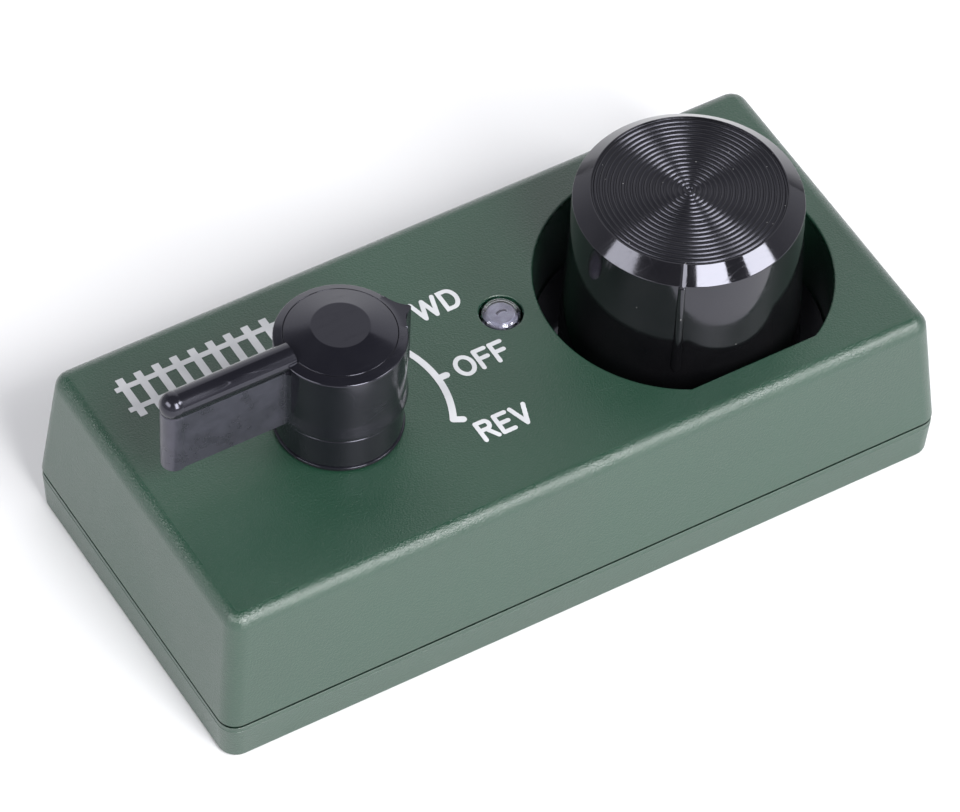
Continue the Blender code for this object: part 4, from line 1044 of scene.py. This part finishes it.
def disc_tree():
    """A disc with concentric turned ridges on top, closed underneath.
    A strip is bent round: its length becomes the turn, its width the radius."""
    tree, given, out = growing_tree(
        "turned_disc",
        Radius="float",
        Pitch="float",
        Depth="float",
        Thickness="float",
        Rings="int",
        Around="int",
    )
    rows = calc(tree, "ADD", given["Rings"], 3.0)
    strip = put(
        tree, "GeometryNodeMeshGrid",
        {
            "Size X": 2.0,
            "Size Y": 1.0,
            "Vertices X": calc(tree, "ADD", given["Around"], 1.0),
            "Vertices Y": rows,
        },
    ).outputs["Mesh"]
    here = put(tree, "GeometryNodeInputPosition").outputs[0]
    place = put(tree, "ShaderNodeSeparateXYZ", {0: here}).outputs
    turn = calc(tree, "MULTIPLY", place[0], math.pi)
    count = calc(tree, "MULTIPLY", calc(tree, "ADD", place[1], 0.5), calc(tree, "ADD", given["Rings"], 2.0))
    share = calc(tree, "MINIMUM", calc(tree, "DIVIDE", count, given["Rings"]), 1.0)
    under = calc(tree, "GREATER_THAN", count, calc(tree, "ADD", given["Rings"], 0.5))
    last = calc(tree, "GREATER_THAN", count, calc(tree, "ADD", given["Rings"], 1.5))
    radius = calc(
        tree, "MULTIPLY", calc(tree, "MULTIPLY", share, given["Radius"]), calc(tree, "SUBTRACT", 1.0, last)
    )
    phase = calc(tree, "MULTIPLY", calc(tree, "DIVIDE", radius, given["Pitch"]), math.tau)
    wave = calc(tree, "MULTIPLY", calc(tree, "SUBTRACT", calc(tree, "COSINE", phase), 1.0), 0.5)
    ridge = calc(tree, "MULTIPLY", wave, given["Depth"])
    ridge = calc(tree, "MULTIPLY", ridge, calc(tree, "SUBTRACT", 1.0, under))
    height = calc(tree, "SUBTRACT", ridge, calc(tree, "MULTIPLY", under, given["Thickness"]))
    bent = vector(
        tree, X=calc(tree, "MULTIPLY", radius, calc(tree, "COSINE", turn)),
        Y=calc(tree, "MULTIPLY", radius, calc(tree, "SINE", turn)), Z=height,
    )
    disc = put(tree, "GeometryNodeSetPosition", {"Geometry": strip, "Position": bent}).outputs[0]
    disc = put(tree, "GeometryNodeMergeByDistance", {"Geometry": disc, "Distance": 2e-6}).outputs[0]
    return closing(tree, given, out, disc)


def make_disc():
    low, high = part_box("dial_inlay")
    disc = grown(
        "dial_turned_face", disc_tree(), radius=DISC_RADIUS - 0.02 * MM, pitch=GROOVE_PITCH,
        depth=GROOVE_DEPTH,
        thickness=high.z - low.z, rings=144, around=128, finish=TURNED_BLACK,
    )
    moved(disc, Vector((DIAL.x, DIAL.y, high.z)))
    bm = bmesh.new()
    bm.from_mesh(disc.data)
    bmesh.ops.recalc_face_normals(bm, faces=bm.faces)
    bm.to_mesh(disc.data)
    bm.free()
    piece(disc, TURNED_BLACK, "dial", ["dial_inlay"], crease=60)


# ---------------------------------------------------------------- direction lever


def hub_point(turn, radius=HUB_RADIUS):
    return LEVER.x + radius * math.cos(turn), LEVER.y + radius * math.sin(turn)


def bent_line(start, middle, end, steps=8):
    """Points on a curve that leaves start towards middle and comes into end from it."""
    made = []
    for k in range(steps + 1):
        t = k / steps
        made.append(
            tuple((1 - t) ** 2 * a + 2 * t * (1 - t) * b + t * t * c for a, b, c in zip(start, middle, end))
        )
    return made


def upright(name, outline, low, high, rim=0.25 * MM):
    """An outline drawn up, with a small chamfer round its top."""
    middle = sum((Vector(point) for point in outline), Vector((0, 0))) / len(outline)
    inner = [Vector(point) + (middle - Vector(point)).normalized() * rim for point in outline]
    loops = [[(*point, low) for point in outline], [(*point, high - rim) for point in outline]]
    loops.append([(*point, high) for point in inner])
    return lofted(name, loops)


def make_lever():
    rim_drop = 0.75 * MM
    seat_radius = CAP_RADIUS + 0.07 * MM
    hub = turned("direction_lever_moulding", LEVER, softened([
        (SHAFT_BORE, CAP_SEAT_Z - 0.3 * MM), (seat_radius, CAP_SEAT_Z - 0.3 * MM),
        (seat_radius, HUB_RIM_Z, 0.1 * MM), (HUB_RADIUS, HUB_RIM_Z - rim_drop, 0.35 * MM),
        (HUB_RADIUS, HUB_FOOT_Z + 3.4 * MM, 1.2 * MM), (HUB_SKIRT_RADIUS, HUB_FOOT_Z + 0.9 * MM, 0.4 * MM),
        (HUB_SKIRT_RADIUS, HUB_FOOT_Z, 0.25 * MM), (HUB_RADIUS - 2 * MM, HUB_FOOT_Z, 0.2 * MM),
        (HUB_RADIUS - 2 * MM, 55.2 * MM), (5.3 * MM, 55.2 * MM), (5.3 * MM, HUB_FOOT_Z + 0.3 * MM),
        (SHAFT_BORE, HUB_FOOT_Z + 0.3 * MM),
    ], closed=True), 128, closed=True)

    tip_x = LEVER.x - ARM_REACH
    root_x = LEVER.x - HUB_RADIUS + MM
    web = bar(
        "web", (tip_x + 0.1 * MM, LEVER.y - WEB_HALF, ARM_FOOT_Z + 0.3 * MM),
        (root_x, LEVER.y + WEB_HALF, BEAD_Z + 0.3 * MM), 0.4 * MM
    )
    bead_end = LEVER.x - seat_radius + 0.2 * MM
    turns = [math.tau * k / 48 for k in range(48)]
    bead = lofted("bead", [
        [(x, LEVER.y + BEAD_RADIUS * math.cos(a), BEAD_Z + BEAD_RADIUS * math.sin(a)) for a in turns]
        for x in (tip_x, bead_end)
    ])
    tip = Vector((tip_x, LEVER.y, 0))
    neck_z = BEAD_Z - math.sqrt(BALL_RADIUS**2 - POST_RADIUS**2)
    low_turn = math.pi - math.asin(POST_RADIUS / BALL_RADIUS)
    ball = [(BALL_RADIUS * math.sin(low_turn * k / 20), BEAD_Z + BALL_RADIUS * math.cos(low_turn * k / 20))
            for k in range(1, 20)]
    post = turned("post", tip, softened([
        (0, BEAD_Z + BALL_RADIUS), *ball, (POST_RADIUS - 0.12 * MM, neck_z - 0.05 * MM, 0.08 * MM),
        (POST_RADIUS, neck_z - 0.45 * MM, 0.15 * MM), (POST_RADIUS, ARM_FOOT_Z, 0.5 * MM), (0, ARM_FOOT_Z),
    ]), 60)

    half = math.radians(21)
    point = (LEVER.x + POINTER_REACH, LEVER.y)
    flank = 0.45 * MM
    lower = bent_line(
        hub_point(-half),
        (LEVER.x + HUB_RADIUS - flank + 0.3 * MM, LEVER.y - 2.0 * MM),
        (point[0], point[1] - 0.18 * MM),
    )
    upper = bent_line(
        (point[0], point[1] + 0.18 * MM),
        (LEVER.x + HUB_RADIUS - flank + 0.3 * MM, LEVER.y + 2.0 * MM),
        hub_point(half),
    )
    inner = [hub_point(half, HUB_RADIUS - MM), hub_point(-half, HUB_RADIUS - MM)]
    pointer = upright("pointer", [*lower, *upper, *inner], HUB_FOOT_Z + 0.35 * MM, POINTER_TOP_Z)

    fillets = []
    blend = 1.3 * MM
    for side in (-1, 1):
        junction_turn = math.pi - side * math.asin(WEB_HALF / HUB_RADIUS)
        junction = (
            LEVER.x - math.sqrt(HUB_RADIUS**2 - WEB_HALF**2), LEVER.y + side * (WEB_HALF - 0.03 * MM)
        )
        on_web = (junction[0] - blend, junction[1])
        on_hub = hub_point(junction_turn - side * blend / HUB_RADIUS)
        inside = hub_point(junction_turn + side * 0.05, HUB_RADIUS - MM)
        web_inside = (on_web[0], on_web[1] - side * MM)
        outline = [*bent_line(on_web, junction, on_hub), inside, web_inside]
        fillets.append(lofted(f"fillet_{side + 2}", [
            [(*p, z) for p in outline] for z in (ARM_FOOT_Z + 0.8 * MM, 57.8 * MM)
        ]))
    cap_room = turned("cap_room", LEVER, [
        (0, 64 * MM), (seat_radius, 64 * MM), (seat_radius, CAP_SEAT_Z - 0.3 * MM), (
            0, CAP_SEAT_Z - 0.3 * MM
        )
    ], 128)
    worked(hub, joined=[web, bead, post, pointer, *fillets], cut=[cap_room])
    piece(hub, LEVER_BLACK, "lever", ["direction_lever"], crease=28)

    cap = turned("lever_cap_moulding", LEVER, softened([
        (0, CAP_TOP_Z), (CAP_FLAT_RADIUS, CAP_TOP_Z, 0.6 * MM), (CAP_RADIUS, HUB_RIM_Z, 0.15 * MM),
        (CAP_RADIUS, CAP_SEAT_Z, 0.1 * MM), (0, CAP_SEAT_Z),
    ]), 128)
    piece(cap, LEVER_BLACK, "lever", ["lever_cap"], crease=24)


def make_collar():
    low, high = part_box("lever_collar")
    foot = TOP_Z + 0.3 * MM
    collar = turned("lever_collar_moulding", LEVER, softened([
        (COLLAR_BORE, high.z), (COLLAR_RADIUS, high.z, 0.3 * MM), (
            COLLAR_RADIUS, foot + 0.85 * MM, 0.1 * MM
        ),
        (COLLAR_RADIUS - 0.15 * MM, foot + 0.75 * MM), (
            COLLAR_RADIUS + 0.25 * MM, foot + 0.6 * MM, 0.15 * MM
        ),
        (COLLAR_RADIUS + 0.3 * MM, foot, 0.15 * MM), (COLLAR_NECK, foot), (COLLAR_NECK, low.z, 0.2 * MM),
        (COLLAR_BORE, low.z),
    ], closed=True), 128, closed=True)
    piece(collar, LEVER_BLACK, "case", ["lever_collar"], crease=30)


# ---------------------------------------------------------------- power light


def make_light():
    top = TOP_Z + 0.45 * MM
    ceiling = TOP_Z - WALL
    wall = 0.3 * MM
    flange = LENS_RADIUS + 1.2 * MM
    lens = turned("power_light_lens", LIGHT, softened([
        (0, top), (LENS_RADIUS - 0.7 * MM, top - 0.1 * MM, 0.9 * MM), (
            LENS_RADIUS, top - 0.7 * MM, 0.4 * MM
        ),
        (LENS_RADIUS, ceiling - 0.3 * MM), (flange, ceiling - 0.3 * MM), (flange, ceiling - 1.5 * MM),
        (LENS_RADIUS - wall, ceiling - 1.5 * MM), (LENS_RADIUS - wall, top - 0.9 * MM, 0.4 * MM),
        (LENS_RADIUS - wall - 0.7 * MM, top - 0.45 * MM, 0.5 * MM), (0, top - 0.35 * MM),
    ]), 64)
    piece(lens, LENS_CLEAR, "case", ["led_lens"], crease=40)
    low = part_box("led_emitter")[0].z
    radius = 3.05 * MM
    crown = TOP_Z - 0.1 * MM
    body = turned("power_light_body", LIGHT, softened([
        (0, crown), (radius * 0.8, crown - 0.15 * MM, 0.5 * MM), (radius, crown - 0.9 * MM, 0.3 * MM),
        (radius, low + MM), (radius + 0.4 * MM, low + MM), (radius + 0.4 * MM, low), (0, low),
    ]), 48)
    piece(body, LIGHT_BODY, "case", ["led_emitter"], crease=40)
    dish = turned("power_light_dish", LIGHT, softened([
        (radius + 0.04 * MM, crown - 1.7 * MM), (
            LENS_RADIUS - wall - 0.03 * MM, crown - 1.1 * MM, 0.06 * MM
        ),
        (LENS_RADIUS - wall - 0.03 * MM, crown - 2.4 * MM), (radius + 0.04 * MM, crown - 3.0 * MM),
    ], closed=True), 48, closed=True)
    piece(dish, LIGHT_BODY, "case", crease=40)
    chord = bent_line((-1.1 * MM, 0.1 * MM), (0, 0.9 * MM), (1.1 * MM, 0.1 * MM))
    inner = [(x * 0.9, y - 0.42 * MM) for x, y in reversed(chord)]
    chip = lofted("power_light_chip", [
        [(LIGHT.x + x, LIGHT.y + y, z) for x, y in chord + inner]
        for z in (crown - 0.3 * MM, crown + 0.05 * MM)
    ])
    piece(chip, LIGHT_CUP, "case")


# ---------------------------------------------------------------- prints on the case

PRINT_LOW = TOP_Z - 0.08 * MM
PRINT_HIGH = TOP_Z + 0.06 * MM


def raised_line(name, points, width, closed=False):
    """A raised line of even width with round ends."""
    half = width / 2
    path = [Vector(point) for point in points]
    count = len(path)
    left = []
    right = []
    for i, point in enumerate(path):
        ways = []
        if i or closed:
            ways.append((point - path[i - 1]).normalized())
        if i < count - 1 or closed:
            ways.append((path[(i + 1) % count] - point).normalized())
        way = sum(ways, Vector((0, 0))).normalized()
        side = Vector((-way.y, way.x)) * half / max(way.dot(ways[0]), 0.5)
        left.append(point + side)
        right.append(point - side)
    if closed:
        bm = bmesh.new()
        rows = [[bm.verts.new((*p, z)) for p in edge] for edge, z in
                ((left, PRINT_LOW), (left, PRINT_HIGH), (right, PRINT_HIGH), (right, PRINT_LOW))]
        for row, after in zip(rows, rows[1:] + rows[:1]):
            for i in range(count):
                j = (i + 1) % count
                bm.faces.new((row[i], row[j], after[j], after[i]))
        return from_bmesh(name, bm)
    outline = list(left)
    for end, edge in ((path[-1], left[-1]), (path[0], right[0])):
        spoke = edge - end
        for k in range(1, 8):
            cos, sin = math.cos(-math.pi * k / 8), math.sin(-math.pi * k / 8)
            outline.append(end + Vector((spoke.x * cos - spoke.y * sin, spoke.x * sin + spoke.y * cos)))
        if edge is left[-1]:
            outline.extend(reversed(right))
    return lofted(name, [[(*p, z) for p in outline] for z in (PRINT_LOW, PRINT_HIGH)])


def arc_points(centre, radius, start, end, steps=16):
    turns = [start + (end - start) * k / steps for k in range(steps + 1)]
    return [(centre[0] + radius[0] * math.cos(a), centre[1] + radius[1] * math.sin(a)) for a in turns]


# Strokes of each letter in a box one cap height tall. A letter is (width, [(points, closed), ...]).
PEN = STROKE / CAP_HEIGHT / 2
TOP = 1 - PEN


def letter_strokes(letter):
    if letter == "O":
        return 0.86, [(arc_points((0.43, 0.5), (0.43 - PEN, 0.5 - PEN), 0, math.tau, 40)[:-1], True)]
    if letter in "FE":
        bars = [([(PEN, PEN), (PEN, TOP)], False), ([(0.12, TOP - 0.004), (0.55, TOP - 0.004)], False)]
        bars.append(([(0.12, 0.52), (0.50, 0.52)], False))
        if letter == "E":
            bars.append(([(0.12, PEN + 0.004), (0.56, PEN + 0.004)], False))
        return 0.62, bars
    if letter == "W":
        turns = [(PEN, TOP), (0.32, PEN), (0.56, TOP - 0.04), (0.80, PEN), (1.12 - PEN, TOP)]
        return 1.12, [(list(leg), False) for leg in zip(turns, turns[1:])]
    if letter == "D":
        bowl = arc_points((0.34, 0.5), (0.74 - PEN - 0.34, 0.5 - PEN), math.pi / 2, -math.pi / 2, 20)
        return 0.74, [([(PEN, PEN), (PEN, TOP), *bowl], True)]
    if letter == "R":
        bowl = arc_points((0.42, 0.725), (0.66 - PEN - 0.42, TOP - 0.73), math.pi / 2, -math.pi / 2, 14)
        loop = [(0.12, TOP - 0.005), *bowl, (0.12, 1.455 - TOP)]
        return 0.70, [
            ([(PEN, PEN), (PEN, TOP)], False), (loop, False), ([(0.40, 0.46), (0.64, PEN)], False)
        ]
    return 0.76, [([(PEN, TOP), (0.38, PEN)], False), ([(0.38, PEN), (0.76 - PEN, TOP)], False)]


def make_word(word, low, high, base):
    """A word between low and high along the case, its feet on base."""
    gap = 0.09
    letters = [letter_strokes(letter) for letter in word]
    natural = sum(width for width, _ in letters) + gap * (len(word) - 1)
    stretch = (high - low) / natural / CAP_HEIGHT
    lines = []
    across = 0.0
    for spot, (width, strokes) in enumerate(letters):
        for number, (points, closed) in enumerate(strokes):
            placed = [(low + (across + x) * stretch * CAP_HEIGHT, base + y * CAP_HEIGHT) for x, y in points]
            lines.append(raised_line(f"label_{word.lower()}_{spot}_{number}", placed, STROKE, closed))
        across += width + gap
    word_print = lines.pop(0)
    word_print.name = f"label_{word.lower()}"
    worked(word_print, joined=lines)
    piece(word_print, PRINT_WHITE, "case", crease=40)


def make_scale():
    """The arc that the lever's pointer sweeps, with a tick at each position."""
    centre = (LEVER.x, LEVER.y)
    arc = raised_line(
        "lever_scale",
        arc_points(centre, (SCALE_RADIUS, SCALE_RADIUS), -SCALE_SWEEP, SCALE_SWEEP, 32),
        SCALE_STROKE,
    )
    ticks = []
    for number, turn in enumerate((-SCALE_SWEEP, 0, SCALE_SWEEP)):
        ends = [hub_point(turn, radius) for radius in (SCALE_RADIUS, TICK_END - SCALE_STROKE / 2)]
        ticks.append(raised_line(f"tick_{number}", ends, SCALE_STROKE * 1.04))
    worked(arc, joined=ticks)
    piece(arc, PRINT_WHITE, "case", crease=40)


def track_tree():
    """A length of track in plan: two rails over evenly spaced sleepers, as one solid."""
    tree, given, out = growing_tree(
        "track_mark", Length="float", Gauge="float", Rail="float", Sleepers="int", Sleeper="vector",
        Height="float"
    )
    pitch = calc(tree, "DIVIDE", given["Length"], given["Sleepers"])
    spaces = calc(tree, "SUBTRACT", given["Sleepers"], 1.0)
    start = vector(tree, X=calc(tree, "MULTIPLY", calc(tree, "MULTIPLY", pitch, -0.5), spaces))
    row = put(
        tree, "GeometryNodeMeshLine",
        {"Count": given["Sleepers"], "Start Location": start, "Offset": vector(tree, X=pitch)},
    ).outputs[0]
    sleeper = cuboid(tree, given["Sleeper"])
    laid = put(tree, "GeometryNodeInstanceOnPoints", {"Points": row, "Instance": sleeper}).outputs[0]
    laid = put(tree, "GeometryNodeRealizeInstances", {"Geometry": laid}).outputs[0]
    union = put(tree, "GeometryNodeMeshBoolean", operation="UNION", solver="EXACT")
    tree.links.new(laid, union.inputs["Mesh 2"])
    size = vector(tree, X=given["Length"], Y=given["Rail"], Z=given["Height"])
    for side in (-0.5, 0.5):
        rail = shifted(
            tree, cuboid(tree, size), vector(tree, Y=calc(tree, "MULTIPLY", given["Gauge"], side))
        )
        tree.links.new(rail, union.inputs["Mesh 2"])
    return closing(tree, given, out, union.outputs[0])


def make_track_mark():
    height = PRINT_HIGH - PRINT_LOW
    mark = grown(
        "track_mark", track_tree(), length=33.0 * MM, gauge=5.2 * MM, rail=1.1 * MM, sleepers=9,
        sleeper=(1.5 * MM, 9.6 * MM, height), height=height, finish=PRINT_WHITE,
    )
    moved(mark, Vector((-48.2 * MM, 21.0 * MM, (PRINT_LOW + PRINT_HIGH) / 2)))
    piece(mark, PRINT_WHITE, "case", crease=40)


# ---------------------------------------------------------------- making it all

make_housing()
make_base()
make_screws_and_feet()
make_dial()
make_disc()
make_lever()
make_collar()
make_light()
for word, low, high, base in (
    ("OFF", -9.0 * MM, 1.7 * MM, -4.1 * MM),
    ("FWD", -12.3 * MM, 0.4 * MM, 11.0 * MM),
    ("REV", -12.9 * MM, -2.1 * MM, -19.0 * MM),
):
    make_word(word, low, high, base)
make_scale()
make_track_mark()


# ---------------------------------------------------------------- studio


def make_floor():
    bm = bmesh.new()
    bmesh.ops.create_circle(bm, cap_ends=True, segments=96, radius=4.0)
    floor = from_bmesh("studio_floor", bm)
    floor.data.materials.append(finish(
        "white_paper", ((0.80, 0.80, 0.81), (0.82, 0.82, 0.83)), (0.7, 0.9), pebbles=800,
        relief=0.01 * MM, patch=4
    ))
    floor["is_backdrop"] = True


def way_to(azimuth, elevation):
    """The direction from the object at these angles. Azimuth 0 is in front, and grows towards +X."""
    a, e = math.radians(azimuth), math.radians(elevation)
    return Vector((math.sin(a) * math.cos(e), -math.cos(a) * math.cos(e), math.sin(e)))


def soft_box(name, azimuth, elevation, distance, width, height, radiance):
    """A rectangular light turned to the object."""
    lamp = bpy.data.lights.new(name, "AREA")
    lamp.shape = "RECTANGLE"
    lamp.size = width
    lamp.size_y = height
    lamp.energy = radiance * math.pi * width * height
    obj = bpy.data.objects.new(name, lamp)
    bpy.context.scene.collection.objects.link(obj)
    back = way_to(azimuth, elevation)
    obj.location = back * distance
    obj.visible_camera = False
    obj.rotation_euler = back.to_track_quat("Z", "Y").to_euler()


def make_room():
    """A pale room: bright low down all round, dimmer overhead."""
    world = bpy.data.worlds.new("pale_room")
    bpy.context.scene.world = world
    world.use_nodes = True
    tree = world.node_tree
    place = put(tree, "ShaderNodeTexCoord").outputs["Generated"]
    up = put(tree, "ShaderNodeSeparateXYZ", {0: place}).outputs["Z"]
    color = mix(tree, span(tree, up, 0.15, 0.75), (0.66, 0.66, 0.70, 1.0), (0.16, 0.16, 0.18, 1.0))
    tree.links.new(color, tree.nodes["Background"].inputs["Color"])
    tree.nodes["Background"].inputs["Strength"].default_value = 1.0


CAMERA_AZIMUTH = -32.458
CAMERA_ELEVATION = 49.584
CAMERA_ROLL = math.radians(2.518)
CAMERA_DISTANCE = 1.295534
AIM_RIGHT = -1.461 * MM
AIM_UP = 12.217 * MM
LENS = 263.85


def make_camera():
    camera = bpy.data.cameras.new("camera")
    camera.lens = LENS
    camera.sensor_width = 36.0
    camera.clip_start = 0.05
    camera.clip_end = 20.0
    obj = bpy.data.objects.new("camera", camera)
    bpy.context.scene.collection.objects.link(obj)
    back = way_to(CAMERA_AZIMUTH, CAMERA_ELEVATION)
    level = Vector((0, 0, 1)).cross(back).normalized()
    upward = back.cross(level)
    right = math.cos(CAMERA_ROLL) * level + math.sin(CAMERA_ROLL) * upward
    up = -math.sin(CAMERA_ROLL) * level + math.cos(CAMERA_ROLL) * upward
    place = right * AIM_RIGHT + up * AIM_UP + back * CAMERA_DISTANCE
    obj.matrix_world = Matrix.Translation(place) @ Matrix((right, up, back)).transposed().to_4x4()
    bpy.context.scene.camera = obj


make_floor()
soft_box("soft_box_left", CAMERA_AZIMUTH - 55, 38, 1.2, 0.85, 0.40, 7)
soft_box("soft_box_front", CAMERA_AZIMUTH + 31, 38, 1.1, 0.40, 0.70, 16.5)
soft_box("soft_box_right", CAMERA_AZIMUTH + 77, 42, 1.1, 0.36, 0.34, 15)
soft_box("rear_panel", CAMERA_AZIMUTH + 180, 32, 0.42, 0.60, 0.42, 0.7)
make_room()
make_camera()
bpy.context.scene.view_settings.view_transform = "Standard"

low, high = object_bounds()
